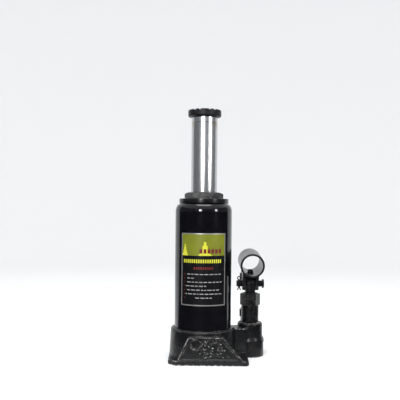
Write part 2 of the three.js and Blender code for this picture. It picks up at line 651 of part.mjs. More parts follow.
function frontPlug() {
  const { x, z, r, floor } = FRONT_PLUG;
  const plug = chamferedRod(r, floor + GAP, FOOT.depth + 0.8, 0.8, SMALL_ROUND);
  return plug.rotate([90, 0, 0]).translate([x, 0, z]);
}
add("strainer_plug", frontPlug(), finish.blackened);

// The gauze strainer in the intake well, under the floor of the tank.
function intakeStrainer() {
  const [x, y] = alongPumpLine(INTAKE.wellReach, 0);
  const foot = COLLAR.seat - 6 + GAP;
  const thimble = turned([[0, foot], [1.7, foot], [1.7, foot + 4.7], [0, foot + 5.7]], TINY_ROUND);
  return thimble.translate([x, y, 0]);
}
add("intake_strainer", intakeStrainer(), finish.bronze);

export default jack;
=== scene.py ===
"""A black hydraulic bottle jack with its hand pump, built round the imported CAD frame.

Lengths are in millimetres where they are named here, and mm() turns them into Blender's metres.
Each visible piece is a fine mesh that stands for one CAD node, and so is most of what is inside. The last
few hidden pieces keep their CAD mesh and get a better material.
"""

import json
import math
import random

import bmesh
import bpy
from mathutils import Matrix, Vector, noise


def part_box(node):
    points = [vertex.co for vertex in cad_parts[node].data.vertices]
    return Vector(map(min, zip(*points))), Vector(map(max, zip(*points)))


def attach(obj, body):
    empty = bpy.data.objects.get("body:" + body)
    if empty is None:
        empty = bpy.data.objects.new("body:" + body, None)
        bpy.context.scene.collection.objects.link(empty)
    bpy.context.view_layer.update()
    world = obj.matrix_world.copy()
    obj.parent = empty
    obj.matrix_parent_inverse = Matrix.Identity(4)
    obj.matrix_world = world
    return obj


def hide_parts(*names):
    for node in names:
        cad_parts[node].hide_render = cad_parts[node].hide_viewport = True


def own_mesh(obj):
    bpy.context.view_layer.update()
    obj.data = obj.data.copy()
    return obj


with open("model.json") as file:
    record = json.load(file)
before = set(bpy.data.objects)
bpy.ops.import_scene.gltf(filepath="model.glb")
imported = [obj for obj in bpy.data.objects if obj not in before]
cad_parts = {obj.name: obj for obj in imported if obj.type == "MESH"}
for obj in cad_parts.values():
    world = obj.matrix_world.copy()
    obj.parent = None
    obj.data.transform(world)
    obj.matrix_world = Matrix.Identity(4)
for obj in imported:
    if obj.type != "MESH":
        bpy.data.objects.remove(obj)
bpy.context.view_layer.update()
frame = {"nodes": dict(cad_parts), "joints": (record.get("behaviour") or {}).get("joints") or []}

MM = 0.001
SEED = 7
X, Y, Z = Vector((1, 0, 0)), Vector((0, 1, 0)), Vector((0, 0, 1))

def mm(*values):
    """A point or a length given in millimetres, in metres."""
    if len(values) == 1:
        return values[0] * MM
    return Vector(values) * MM


def node_box(node):
    """A CAD node's lowest and highest corners, in millimetres."""
    low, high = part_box(node)
    return Vector(low) / MM, Vector(high) / MM


def middle(node):
    """The centre of a CAD node's box, in millimetres."""
    low, high = node_box(node)
    return (low + high) / 2


def joint(name):
    """A joint of the frame, by its name."""
    return next(j for j in frame["joints"] if j["name"] == name)

# ---- sizes that come from the frame ----
PUMP = middle("pump_plunger").xy
FULCRUM = Vector(joint("handle_pump")["pos_m"]) / MM
LINK_FOOT = Vector(joint("link_rock")["pos_m"]) / MM
VALVE = Vector(joint("release_valve_turn")["pos_m"]) / MM
PLUG = middle("strainer_plug")
PUMP_ANGLE = math.atan2(PUMP.y, PUMP.x)
PUMP_REACH = PUMP.length

# ---- sizes that repeat the CAD's, in millimetres and degrees ----
GAP = 0.3  # between pieces that touch
SEAT_GAP = 0.15  # round what stands in a machined seat
FOOT_THICK = 5.5
COLLAR_R, COLLAR_FOOT_R, COLLAR_TOP = 39.3, 41, 39
SEAT, CYLINDER_WELL_R, CYLINDER_FLOOR = 34, 23.5, 12.5
BOSS_R, BOSS_FOOT_R, BOSS_TOP = 15.6, 17.5, 42
BARREL_SEAT_R, BARREL_SEAT_FLOOR = 9.8, 14
WEB_HALF, WEB_TOP = 14, 36
VALVE_BOSS_R, VALVE_BOSS_END, VALVE_BORE_R, VALVE_SEAT = 10, 73, 5.2, 38
FORK_HALF, FORK_EAR, FORK_LOBE, LINK_HOLE_R = 5.3, 5, 7.5, 4.15
INTAKE_Z, WELL_REACH = 27, 27.5
PANEL_OUTLINE = [(-32, 0, 0), (53, 0, 0), (24, 33), (-17, 33)]
FIELD_OUTLINE = [(-25.5, 7), (43, 7), (21.5, 30), (-14.5, 30)]
PANEL_BACK, PANEL_FACE, FIELD_DEPTH = 25, 41.5, 1.3
PLUG_R, PLUG_BOSS_R = 5.7, 7.8
TANK_R, TANK_WALL, SHOULDER, NECK_R, NECK_BORE = 35, 3, 181, 29.4, 24.2
FILLER_R = 5
NUT_CORNER, NUT_TURN = 24, -4
LABEL_HALF_ANGLE, LABEL_IN, LABEL_OUT = 48, 35.06, 35.24
RAM_R, GROOVE_DOWN = 16, 7.5
TENON_R, GROOVE_HALF = 5.5, 0.9
PIN_Z, PIN_R = 90.4, 3.9
SOCKET_MIDDLE = Vector((PUMP.x + 0.8, PUMP.y, 116.6))
SOCKET_R, SOCKET_BORE, SOCKET_LENGTH, SOCKET_TURN = 15, 12.5, 54, 94

# ---- sizes that only this model has, in millimetres and degrees ----
THREAD = {"pitch": 4.0, "depth": 1.1, "from_foot": 2.0, "runout": 6.0}
RIBS, STUDS, STUD_STEP = 44, 5, 5.2  # the relief in the front panel
LABEL_COLUMNS = 40  # the fewest faces across the label's curve
ROW_HALF = 0.006  # half the height of a row of print, as a share of the label's
VOXEL = 0.62
ON_AXIS = 1e-6  # a smaller radius is a point on the axis
FLAT = 0.4  # faces that meet at less are one face
FLOOR_DROP = 0.05
HOOD_HALF_ANGLE = 112
# the grey of worn iron, bright enough to double as a painted highlight on cast edges
BARE_IRON_AND_GLINT = (0.62, 0.60, 0.59)


# ---- mesh helpers ----
def arc(centre, radius, start, end, steps=6):
    """Points on an arc, with its angles in degrees."""
    cx, cy = centre
    angles = (math.radians(start + (end - start) * i / steps) for i in range(steps + 1))
    return [(cx + radius * math.cos(a), cy + radius * math.sin(a)) for a in angles]


def rounded(points, radius, steps=4, closed=False):
    """The outline with its corners rounded. A point may carry a radius of its own as a third value."""
    out = []
    count = len(points)
    for i, point in enumerate(points):
        here = Vector(point[:2])
        r = point[2] if len(point) > 2 else radius
        if (not closed and i in (0, count - 1)) or r <= 0:
            out.append(tuple(here))
            continue
        before = Vector(points[i - 1][:2]) - here
        after = Vector(points[(i + 1) % count][:2]) - here
        half = before.angle(after) / 2
        if half > math.radians(89):
            out.append(tuple(here))
            continue
        back = min(r / math.tan(half), before.length * 0.49, after.length * 0.49)
        start = here + before.normalized() * back
        end = here + after.normalized() * back
        for k in range(steps + 1):
            t = k / steps
            out.append(tuple(start * (1 - t) ** 2 + here * 2 * t * (1 - t) + end * t * t))
    return out


def mesh_object(name, bm):
    """The mesh as an object in the scene, with its faces turned outwards."""
    bmesh.ops.recalc_face_normals(bm, faces=bm.faces)
    mesh = bpy.data.meshes.new(name)
    bm.to_mesh(mesh)
    bm.free()
    obj = bpy.data.objects.new(name, mesh)
    bpy.context.scene.collection.objects.link(obj)
    return obj


def ring_angles(sides):
    """The angle of each point of a ring, in radians."""
    return [2 * math.pi * k / sides for k in range(sides)]


def new_ring(bm, radius, z, sides):
    """New points in a ring round Z, or the one point that a ring on the axis comes to."""
    if radius < ON_AXIS:
        return [bm.verts.new(mm(0, 0, z))]
    return [bm.verts.new(mm(radius * math.cos(a), radius * math.sin(a), z)) for a in ring_angles(sides)]


def bridge(bm, low, high):
    """The faces between two rings of points, either of which may be a single point."""
    for k in range(max(len(low), len(high))):
        near = [low[k % len(low)], low[(k + 1) % len(low)]]
        far = [high[(k + 1) % len(high)], high[k % len(high)]]
        corners = list(dict.fromkeys(near + far))
        if len(corners) > 2:
            bm.faces.new(corners)


def strip(bm, here, there):
    """The faces between two open rows of points."""
    for k in range(len(here) - 1):
        bm.faces.new([here[k], here[k + 1], there[k + 1], there[k]])


def skinned(name, bm, rings):
    """An object from rings of points one after another, with a face across each end."""
    for low, high in zip(rings, rings[1:]):
        bridge(bm, low, high)
    bm.faces.new(rings[0][::-1])
    bm.faces.new(rings[-1])
    return mesh_object(name, bm)


def lathe(name, profile, sides=96, closed=False):
    """A profile of (radius, height) in mm, turned about Z. It starts and ends on the axis, or is closed."""
    bm = bmesh.new()
    rings = [new_ring(bm, r, z, sides) for r, z in profile]
    pairs = list(zip(rings, rings[1:]))
    if closed:
        pairs.append((rings[-1], rings[0]))
    for low, high in pairs:
        bridge(bm, low, high)
    return mesh_object(name, bm)


def extrude(name, outline, low, high):
    """An outline of (x, y) in mm, extruded along Z."""
    bm = bmesh.new()
    bottom = [bm.verts.new(mm(x, y, low)) for x, y in outline]
    top = [bm.verts.new(mm(x, y, high)) for x, y in outline]
    bm.faces.new(bottom[::-1])
    bm.faces.new(top)
    bridge(bm, bottom, top)
    return mesh_object(name, bm)


def box(name, low, high):
    """A block between two corners."""
    x0, y0, z0 = low
    x1, y1, z1 = high
    return extrude(name, [(x0, y0), (x1, y0), (x1, y1), (x0, y1)], z0, z1)


def place(obj, *steps):
    """Turns and moves the mesh itself, so that the object stays at the origin."""
    for step in steps:
        obj.data.transform(step)
    return obj


def turn(degrees, axis):
    return Matrix.Rotation(math.radians(degrees), 4, axis)


def shift(x, y, z):
    return Matrix.Translation(mm(x, y, z))


ACROSS_X = turn(90, "Y")  # what ran along Z runs along X
PLATE_X = Matrix(((0, 0, 1, 0), (1, 0, 0, 0), (0, 1, 0, 0), (0, 0, 0, 1)))  # an outline lies in Y and Z
PLATE_Y = Matrix(((1, 0, 0, 0), (0, 0, -1, 0), (0, 1, 0, 0), (0, 0, 0, 1)))  # an outline lies in X and Z
TO_PUMP = Matrix.Rotation(PUMP_ANGLE, 4, "Z")  # what ran along X runs from the ram to the pump


def bar(radius, low, high):
    """The profile of a plain round bar."""
    return [(0, low), (radius, low), (radius, high), (0, high)]


def lathe_x(name, profile, y, z, sides=64):
    """A profile of (radius, x), turned about a line along X."""
    return place(lathe(name, profile, sides), ACROSS_X, shift(0, y, z))


def rod_x(name, radius, x0, x1, y, z):
    """A round bar along X."""
    return lathe_x(name, bar(radius, x0, x1), y, z)


def rod_z(name, radius, low, high, x=0.0, y=0.0, sides=96):
    """A round bar along Z."""
    return place(lathe(name, bar(radius, low, high), sides), shift(x, y, 0))


def rod_between(start, end, radius):
    """A round bar from one point to another."""
    along = Vector(end) - Vector(start)
    rod = lathe("oilway", bar(radius, 0, along.length), 32)
    return place(rod, Z.rotation_difference(along).to_matrix().to_4x4(), shift(*start))


def on_pump_line(reach, z):
    """The point at a distance from the ram's axis, on the line from it to the pump."""
    return (reach * math.cos(PUMP_ANGLE), reach * math.sin(PUMP_ANGLE), z)


def lobed(start, end, radius, steps=20):
    """The outline round two circles of one radius."""
    a, b = Vector(start), Vector(end)
    along = math.degrees(math.atan2(b.y - a.y, b.x - a.x))
    return arc(a, radius, along + 90, along + 270, steps) + arc(b, radius, along - 90, along + 90, steps)


def join(name, pieces):
    """One object from several, whose shells may overlap."""
    bm = bmesh.new()
    for piece in pieces:
        bm.from_mesh(piece.data)
        drop(piece)
    return mesh_object(name, bm)


def drop(obj):
    """Removes an object and its mesh."""
    mesh = obj.data
    bpy.data.objects.remove(obj)
    if mesh.users == 0:
        bpy.data.meshes.remove(mesh)


def modified(obj, kind, **settings):
    """Puts one modifier on the object and applies it to its mesh."""
    modifier = obj.modifiers.new(kind.lower(), kind)
    for name, value in settings.items():
        setattr(modifier, name, value)
    graph = bpy.context.evaluated_depsgraph_get()
    graph.update()
    mesh = bpy.data.meshes.new_from_object(obj.evaluated_get(graph))
    old = obj.data
    obj.modifiers.clear()
    obj.data = mesh
    bpy.data.meshes.remove(old)
    return obj


def boolean(obj, others, operation):
    """Cuts, joins or meets obj with the others, one after another, and drops them."""
    for other in others:
        modified(obj, "BOOLEAN", operation=operation, solver="EXACT", object=other)
        drop(other)
    return obj


def cut(obj, *others):
    """Takes the others out of obj."""
    return boolean(obj, others, "DIFFERENCE")


def merge_flat_faces(obj):
    """Merges the flat faces that a cut left split."""
    bm = bmesh.new()
    bm.from_mesh(obj.data)
    bmesh.ops.dissolve_limit(bm, angle_limit=math.radians(FLAT), verts=bm.verts, edges=bm.edges)
    bm.to_mesh(obj.data)
    bm.free()


def bevel(obj, width, segments=3, angle=30):
    """Rounds the edges that are sharper than the angle."""
    merge_flat_faces(obj)
    modified(obj, "BEVEL", width=mm(width), segments=segments, limit_method="ANGLE",
             angle_limit=math.radians(angle))


def smooth_shade(obj, angle=35):
    """Smooth shading, with the edges that are sharper than the angle kept sharp."""
    mesh = obj.data
    mesh.shade_smooth()
    bm = bmesh.new()
    bm.from_mesh(mesh)
    for edge in bm.edges:
        edge.smooth = len(edge.link_faces) != 2 or edge.calc_face_angle(0) < math.radians(angle)
    bm.to_mesh(mesh)
    bm.free()


def piece(obj, body, material, slot, *nodes, angle=35):
    """Finishes a piece: its shading, material, body, and the CAD nodes that it stands for. Its slot is not
    used.
    """
    smooth_shade(obj, angle)
    modified(obj, "WEIGHTED_NORMAL", keep_sharp=True)
    obj.data.materials.clear()
    obj.data.materials.append(material)
    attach(obj, body)
    if nodes:
        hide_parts(*nodes)


# ---- material helpers ----
def scaled(color, factor):
    """The colour times a factor, held below white."""
    return tuple(min(c * factor, 1) for c in color)


class Surface:
    """A Principled material, with short calls for the nodes that feed it. Texture scales are per metre."""

    def __init__(self, name, **sockets):
        self.material = bpy.data.materials.new(name)
        self.material.use_nodes = True
        self.tree = self.material.node_tree
        self.shader = self.tree.nodes["Principled BSDF"]
        for socket, value in sockets.items():
            self.set(socket, value)
        self.place = self.node("TexCoord").outputs["Object"]

    def link(self, source, target):
        """Feeds a socket with another socket, a colour or a number."""
        if isinstance(source, (int, float)):
            target.default_value = source
        elif isinstance(source, tuple):
            target.default_value = (*source, 1.0)
        else:
            self.tree.links.new(source, target)

    def node(self, kind, **sockets):
        """A new node, with some of its sockets fed. An underscore stands for a space in a socket's name."""
        node = self.tree.nodes.new("ShaderNode" + kind)
        for socket, value in sockets.items():
            self.link(value, node.inputs[socket.replace("_", " ")])
        return node

    def noise(self, scale, detail=3.0, stretch=None, roughness=0.5):
        """Noise from 0 to 1, which may be squeezed along an axis."""
        place = self.place
        if stretch:
            mapping = self.node("Mapping", Vector=place)
            mapping.inputs["Scale"].default_value = stretch
            place = mapping.outputs["Vector"]
        node = self.node("TexNoise", Vector=place, Scale=scale, Detail=detail, Roughness=roughness)
        return node.outputs["Fac"]

    def calc(self, operation, first, second):
        node = self.node("Math")
        node.operation = operation
        self.link(first, node.inputs[0])
        self.link(second, node.inputs[1])
        return node.outputs[0]

    def times(self, first, second):
        return self.calc("MULTIPLY", first, second)

    def spread(self, value, low, high, to_low=0.0, to_high=1.0):
        """The value, stretched from one range to another and held inside it."""
        node = self.node("MapRange", Value=value, From_Min=low, From_Max=high, To_Min=to_low, To_Max=to_high)
        return node.outputs["Result"]

    def blend(self, factor, first, second):
        node = self.node("Mix")
        node.data_type = "RGBA"
        self.link(factor, node.inputs["Factor"])
        self.link(first, node.inputs[6])
        self.link(second, node.inputs[7])
        return node.outputs[2]

    def edges(self, low, high):
        """1 on convex edges, 0 on flat and hollow ones."""
        return self.spread(self.node("NewGeometry").outputs["Pointiness"], low, high)

    def height(self):
        """The height above the foot, in metres."""
        return self.node("SeparateXYZ", Vector=self.place).outputs["Z"]

    def set(self, socket, value):
        """Feeds one of the shader's own sockets."""
        self.link(value, self.shader.inputs[socket.replace("_", " ")])

    def bump(self, height, depth, strength):
        """Bumps of a depth in mm, on top of those already there."""
        node = self.node("Bump", Strength=strength, Distance=mm(depth), Height=height)
        normal = self.shader.inputs["Normal"]
        if normal.is_linked:
            self.tree.links.new(normal.links[0].from_socket, node.inputs["Normal"])
        self.tree.links.new(node.outputs["Normal"], normal)
        return self


# ---- materials ----
def cast_paint(name, base, chips_and_glints, relief):
    """Black paint over rough cast iron, worn to grey metal along its sharp edges. The worn edges are made
    bright enough to also be a painted highlight: glints along the relief's edges.
    """
    s = Surface(name, Roughness=0.3, Coat_Weight=0.1, Coat_Roughness=0.12, Specular_IOR_Level=0.27)
    grain = s.noise(900, detail=4, roughness=0.6)
    lumps = s.noise(300, detail=3)
    dust = s.spread(s.noise(90, detail=3), 0.45, 0.75)
    film = s.blend(dust, base, scaled(base, 1.8))
    patches = s.spread(s.noise(420, detail=5, roughness=0.7), 0.50, 0.57)
    # partly real wear and partly painted highlight: bright glints painted along the convex edges of the
    # relief
    worn_and_glint = s.times(s.times(s.edges(0.515, 0.56), patches), chips_and_glints)
    s.set("Base_Color", s.blend(worn_and_glint, film, BARE_IRON_AND_GLINT))
    s.set("Roughness", s.spread(grain, 0.3, 0.7, 0.22, 0.42))
    s.bump(lumps, 0.9 * relief, 0.6)
    return s.bump(grain, 0.25 * relief, 0.7).material


def enamel(name, base, roughness, texture=0.02):
    """Glossy baked enamel, with a faint orange peel and a little dust."""
    s = Surface(name, Roughness=roughness, Coat_Weight=0.25, Coat_Roughness=0.05, Specular_IOR_Level=0.3)
    peel = s.noise(420, detail=2)
    dust = s.spread(s.noise(1500, detail=2), 0.66, 0.8)
    haze = s.spread(s.noise(45, detail=4), 0.4, 0.75)
    s.set("Base_Color", s.blend(haze, base, scaled(base, 1.8)))
    duller = s.spread(haze, 0, 1, roughness, roughness + 0.06)
    s.set("Roughness", s.calc("ADD", duller, s.times(dust, 0.25)))
    return s.bump(peel, texture, 0.5).material


def black_steel(name, base=(0.0045, 0.0045, 0.0055), roughness=0.34):
    """Oiled black steel, with rubbed edges."""
    s = Surface(name, Roughness=roughness, Metallic=0.35, Specular_IOR_Level=0.25)
    mottle = s.noise(160, detail=5, roughness=0.65)
    grain = s.noise(1600, detail=2)
    body = s.blend(s.spread(mottle, 0.35, 0.7), base, scaled(base, 2.4))
    rubbed = s.times(s.edges(0.55, 0.68), s.spread(s.noise(500, detail=4), 0.45, 0.65))
    s.set("Base_Color", s.blend(rubbed, body, (0.10, 0.10, 0.10)))
    s.set("Roughness", s.spread(mottle, 0.3, 0.7, roughness - 0.06, roughness + 0.12))
    return s.bump(grain, 0.04, 0.5).material


def chromed(name):
    """Ground and chromed steel. The grinding marks run round it, and oil has stained it under the groove."""
    s = Surface(name, Roughness=0.16, Metallic=1.0, Anisotropic=0.75)
    tangent = s.node("Tangent")
    tangent.direction_type = "RADIAL"
    tangent.axis = "Z"
    s.set("Tangent", tangent.outputs["Tangent"])
    rings = s.noise(9, detail=6, stretch=(1, 1, 320), roughness=0.7)
    streak = s.noise(30, detail=4, stretch=(1, 1, 0.15))
    s.set("Roughness", s.spread(rings, 0.3, 0.7, 0.12, 0.24))
    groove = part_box("ram_rod")[1][2] - mm(GROOVE_DOWN)
    below = s.spread(s.height(), groove - mm(7), groove - mm(0.5))
    above = s.spread(s.height(), groove + mm(0.2), groove + mm(1.2), 1.0, 0.0)
    stain = s.times(s.times(below, above), s.spread(streak, 0.35, 0.6))
    steel = s.blend(s.spread(streak, 0.3, 0.7), (0.50, 0.51, 0.52), (0.60, 0.60, 0.61))
    s.set("Base_Color", s.blend(s.times(stain, 0.9), steel, (0.33, 0.20, 0.06)))
    return s.bump(rings, 0.006, 0.6).material


def machined(name, dark, light, roughness=0.28, scale=500):
    """Bare metal with fine tool marks and a faint mottle."""
    s = Surface(name, Roughness=roughness, Metallic=1.0)
    mottle = s.noise(120, detail=5, roughness=0.6)
    marks = s.noise(scale, detail=3, stretch=(1, 1, 4))
    s.set("Base_Color", s.blend(s.spread(mottle, 0.3, 0.7), dark, light))
    s.set("Roughness", s.spread(marks, 0.3, 0.7, roughness - 0.05, roughness + 0.14))
    return s.bump(marks, 0.02, 0.5).material


def moulded(name, base, roughness, grain_scale=1400, depth=0.05):
    """Rubber, urethane or pressed fibre: matt, with a fine skin."""
    s = Surface(name, Roughness=roughness)
    grain = s.noise(grain_scale, detail=4, roughness=0.65)
    bloom = s.spread(s.noise(110, detail=4), 0.4, 0.75)
    s.set("Base_Color", s.blend(bloom, base, tuple(min(c * 1.7 + 0.004, 1) for c in base)))
    s.set("Roughness", s.spread(grain, 0.3, 0.7, roughness - 0.08, roughness + 0.1))
    return s.bump(grain, depth, 0.6).material


def ink(name, base, roughness=0.3, metallic=0.0):
    """Printed foil: an even ink with faint grain under a clear film."""
    s = Surface(name, Roughness=roughness, Metallic=metallic, Coat_Weight=0.1, Coat_Roughness=0.12,
                Specular_IOR_Level=0.25)
    dots = s.noise(2600, detail=2)
    fade = s.noise(60, detail=3)
    tone = s.blend(s.spread(fade, 0.3, 0.7), base, scaled(base, 0.72))
    s.set("Base_Color", s.blend(s.spread(dots, 0.55, 0.8), tone, scaled(base, 1.35)))
    s.set("Roughness", s.spread(fade, 0.3, 0.7, roughness, roughness + 0.1))
    return s.bump(dots, 0.006, 0.4).material


CAST = cast_paint("cast_black_paint", (0.0022, 0.0024, 0.0030), 0.9, 1.0)
CAST_SMALL = cast_paint("cast_black_paint_small", (0.0026, 0.0027, 0.0034), 0.08, 0.07)
TANK_ENAMEL = enamel("tank_enamel", (0.0018, 0.0018, 0.0028), 0.09)
CAP_ENAMEL = enamel("cap_enamel", (0.0028, 0.0028, 0.0036), 0.20, 0.03)
SOCKET_PAINT = enamel("socket_paint", (0.0050, 0.0048, 0.0058), 0.30, 0.05)
BLACK_STEEL = black_steel("black_steel")
SADDLE_STEEL = black_steel("saddle_steel", (0.006, 0.006, 0.007), 0.40)
CHROME = chromed("ground_chrome")
STEEL = machined("machined_steel", (0.34, 0.34, 0.35), (0.52, 0.52, 0.53))
BALL_STEEL = machined("ball_steel", (0.52, 0.52, 0.53), (0.66, 0.66, 0.67), 0.14)
SPRING_STEEL = machined("spring_steel", (0.20, 0.19, 0.18), (0.33, 0.32, 0.31), 0.34)
DARK_STEEL = machined("dark_steel", (0.035, 0.034, 0.034), (0.075, 0.073, 0.070), 0.38)
BRONZE = machined("sintered_bronze", (0.42, 0.24, 0.09), (0.60, 0.37, 0.15), 0.36, 900)
COPPER = machined("soft_copper", (0.50, 0.21, 0.11), (0.70, 0.34, 0.20), 0.34)
RUBBER = moulded("black_rubber", (0.006, 0.006, 0.007), 0.6)
URETHANE = moulded("urethane", (0.42, 0.06, 0.025), 0.40, 800, 0.02)
FIBRE = moulded("gasket_fibre", (0.060, 0.064, 0.050), 0.85, 700, 0.10)
INKS = {
    "foil": ink("label_foil", (0.50, 0.50, 0.48), 0.28, 0.8),
    "olive": ink("label_olive", (0.150, 0.165, 0.010)),
    "yellow": ink("label_yellow", (0.50, 0.50, 0.03)),
    "red": ink("label_red", (0.13, 0.014, 0.014)),
    "black": ink("label_black", (0.005, 0.005, 0.006), 0.22),
    "white": ink("label_white", (0.26, 0.26, 0.26)),
}


# ---- the cast base ----
def foot_outline():
    """The foot seen from above, with its front corners cut back."""
    low, high = node_box("base_casting")
    left, front, rear = low.x, low.y, high.y
    right, corner = 55, 9
    points = [
        (left + corner, front), (right - 3, front), (right, front + 3), (right, rear - 6), (right - 8, rear),
        (30, rear), (22, -front), (left + corner, -front), (left, -front - corner), (left, front + corner),
    ]
    return rounded(points, 1.5, closed=True)


def front_panel(side):
    """A cast panel: a raised rim round a sunk field. side is -1 for the front and 1 for the back."""
    slab = extrude("panel", rounded(PANEL_OUTLINE, 2, closed=True), PANEL_BACK, PANEL_FACE)
    field = rounded(FIELD_OUTLINE, 2, closed=True)
    cut(slab, extrude("field", field, PANEL_FACE - FIELD_DEPTH, PANEL_FACE + 2))
    if side > 0:
        return [place(slab, PLATE_Y, Matrix.Diagonal((1, -1, 1, 1)))]
    boss = extrude("boss", arc((PLUG.x, PLUG.z), PLUG_BOSS_R, 0, 352, 44), PANEL_BACK, PANEL_FACE + 0.4)
    return [place(solid, PLATE_Y) for solid in (slab, boss, *cast_marks())]


def cast_marks():
    """Rough raised relief in the sunk field: short ribs at all angles, a ring and a row of studs."""
    face = PANEL_FACE - FIELD_DEPTH - 0.1
    chance = random.Random(SEED)
    marks = [ring_mark((20.5, 19.5), 3.0, face)]
    for _ in range(RIBS):
        z = chance.uniform(9, 29)
        x = chance.uniform(-3, 38 - (z - 7) * 0.9)
        angle, length = chance.uniform(0, math.pi), chance.uniform(1.0, 3.4)
        end = (x + length * math.cos(angle), z + length * math.sin(angle) * 0.8)
        marks.append(bar_mark((x, z), end, chance.uniform(0.4, 0.75), face))
    for k in range(STUDS):
        centre = (1.5 + STUD_STEP * k, 13.5)
        marks.append(extrude("stud", arc(centre, 1.0, 0, 330, 11), face - 1, face + 0.9))
    return marks


def bar_mark(start, end, half, face):
    """A raised rib from one point to another."""
    a, b = Vector(start), Vector(end)
    along = (b - a).normalized() * half
    side = Vector((-along.y, along.x))
    corners = [a - along + side, a - along - side, b + along - side, b + along + side]
    return extrude("rib", [tuple(c) for c in corners], face - 1, face + 1.2)


def ring_mark(centre, radius, face):
    """A raised ring."""
    ring = extrude("ring", arc(centre, radius, 0, 350, 35), face - 1, face + 0.9)
    return cut(ring, extrude("hole", arc(centre, radius - 1.3, 0, 345, 23), face - 2, face + 2))


def rough_lumps():
    """Every lump of the casting before it is machined."""
    collar = lathe("collar", [
        (0, 0), (COLLAR_FOOT_R, 0), (COLLAR_R, COLLAR_TOP - 1.6), (COLLAR_R - 1.7, COLLAR_TOP),
        (0, COLLAR_TOP),
    ], 128)
    boss = lathe("boss", [
        (0, 0), (BOSS_FOOT_R, 0), (BOSS_FOOT_R - 0.2, 20), (BOSS_R + 0.3, 24), (BOSS_R, BOSS_TOP - 1.4),
        (BOSS_R - 1.2, BOSS_TOP), (0, BOSS_TOP),
    ], 96)
    web = box("web", (20, -WEB_HALF, 0), (PUMP_REACH, WEB_HALF, WEB_TOP))
    nose = box("nose", (18, 20, 0), (62, VALVE.y + 8, 26))
    valve_boss = rod_x("valve_boss", VALVE_BOSS_R, 30, VALVE_BOSS_END, VALVE.y, VALVE.z)
    outline = lobed((FULCRUM.y, FOOT_THICK + 8), (FULCRUM.y, LINK_FOOT.z), FORK_LOBE)
    fork = extrude("fork", outline, PUMP.x - FORK_HALF - FORK_EAR, PUMP.x + FORK_HALF + FORK_EAR)
    return [
        extrude("foot", foot_outline(), 0, FOOT_THICK), collar, place(web, TO_PUMP),
        place(boss, shift(PUMP.x, PUMP.y, 0)), nose, valve_boss, place(fork, PLATE_X),
        *front_panel(-1), *front_panel(1),
    ]


def machine_base(base):
    """The seats and bores that a machinist cuts in the raw casting."""
    fork_gap = box("gap", (PUMP.x - FORK_HALF, FULCRUM.y - 12, LINK_FOOT.z - 10),
                   (PUMP.x + FORK_HALF, FULCRUM.y + 12, LINK_FOOT.z + 20))
    plug_bore = lathe("plug_bore", bar(PLUG_R + SEAT_GAP, 27, 60))
    above = COLLAR_TOP + 2
    cut(
        base,
        rod_z("tank_seat", TANK_R + SEAT_GAP, SEAT, above, sides=128),
        rod_z("cylinder_well", CYLINDER_WELL_R, CYLINDER_FLOOR, above, sides=128),
        rod_z("barrel_seat", BARREL_SEAT_R, BARREL_SEAT_FLOOR, 90, PUMP.x, PUMP.y),
        rod_z("boss_face", BOSS_R - 1.6, BOSS_TOP - 0.4, 60, PUMP.x, PUMP.y),
        fork_gap,
        rod_x("link_hole", LINK_HOLE_R, PUMP.x - 20, PUMP.x + 20, FULCRUM.y, LINK_FOOT.z),
        rod_x("valve_bore", VALVE_BORE_R, VALVE_SEAT, 100, VALVE.y, VALVE.z),
        place(plug_bore, turn(90, "X"), shift(PLUG.x, 0, PLUG.z)),
        *oilways(),
    )


def oilways():
    """The oil ways: pump to cylinder, tank to pump, and cylinder back to tank past the release valve."""
    passage = middle("passage_plug").z
    barrel = on_pump_line(PUMP_REACH, INTAKE_Z)
    outside = on_pump_line(90, passage)
    well_foot, well_top = on_pump_line(WELL_REACH, INTAKE_Z - 1), on_pump_line(WELL_REACH, COLLAR_TOP)
    return [
        rod_between(on_pump_line(16, passage), outside, 2.4),  # the passage, drilled from the outside
        rod_between(on_pump_line(28, passage), on_pump_line(42, passage), 4.3),  # the ball's chamber
        rod_between(on_pump_line(71, passage), outside, 4.2),  # the bore for the passage's plug
        rod_between(well_foot, well_top, 2.4),  # the intake well, under the tank
        rod_between(on_pump_line(WELL_REACH - 1, INTAKE_Z), barrel, 2),  # from the well to the barrel
        rod_between(on_pump_line(43.6, INTAKE_Z), barrel, 3.3),  # the intake ball's chamber
        rod_x("oilway", 2, 26, VALVE_SEAT + 1, VALVE.y, VALVE.z),  # in front of the release valve
        rod_between((27, VALVE.y, VALVE.z), (4, 8, CYLINDER_FLOOR + 1.8), 1.6),  # from there to the cylinder
    ]


def roughen(obj, depth, scale, floor=0.4):
    """Moves each point along its normal by smooth noise, and keeps the foot flat."""
    mesh = obj.data
    normals = [v.normal.copy() for v in mesh.vertices]
    for vertex, normal in zip(mesh.vertices, normals):
        if vertex.co.z < mm(floor):
            vertex.co.z = 0
            continue
        vertex.co += normal * mm(depth) * noise.noise(vertex.co / mm(scale))


def base_casting():
    """The base: lumps made one skin, softened and roughened as a casting is, and then machined."""
    base = join("base", rough_lumps())
    modified(base, "REMESH", mode="VOXEL", voxel_size=mm(VOXEL))
    modified(base, "SMOOTH", factor=0.5, iterations=3)
    roughen(base, 0.12, 3.5)
    modified(base, "DECIMATE", ratio=0.35)
    machine_base(base)
    piece(base, "jack_body", CAST, "cast_iron", "base_casting", angle=50)


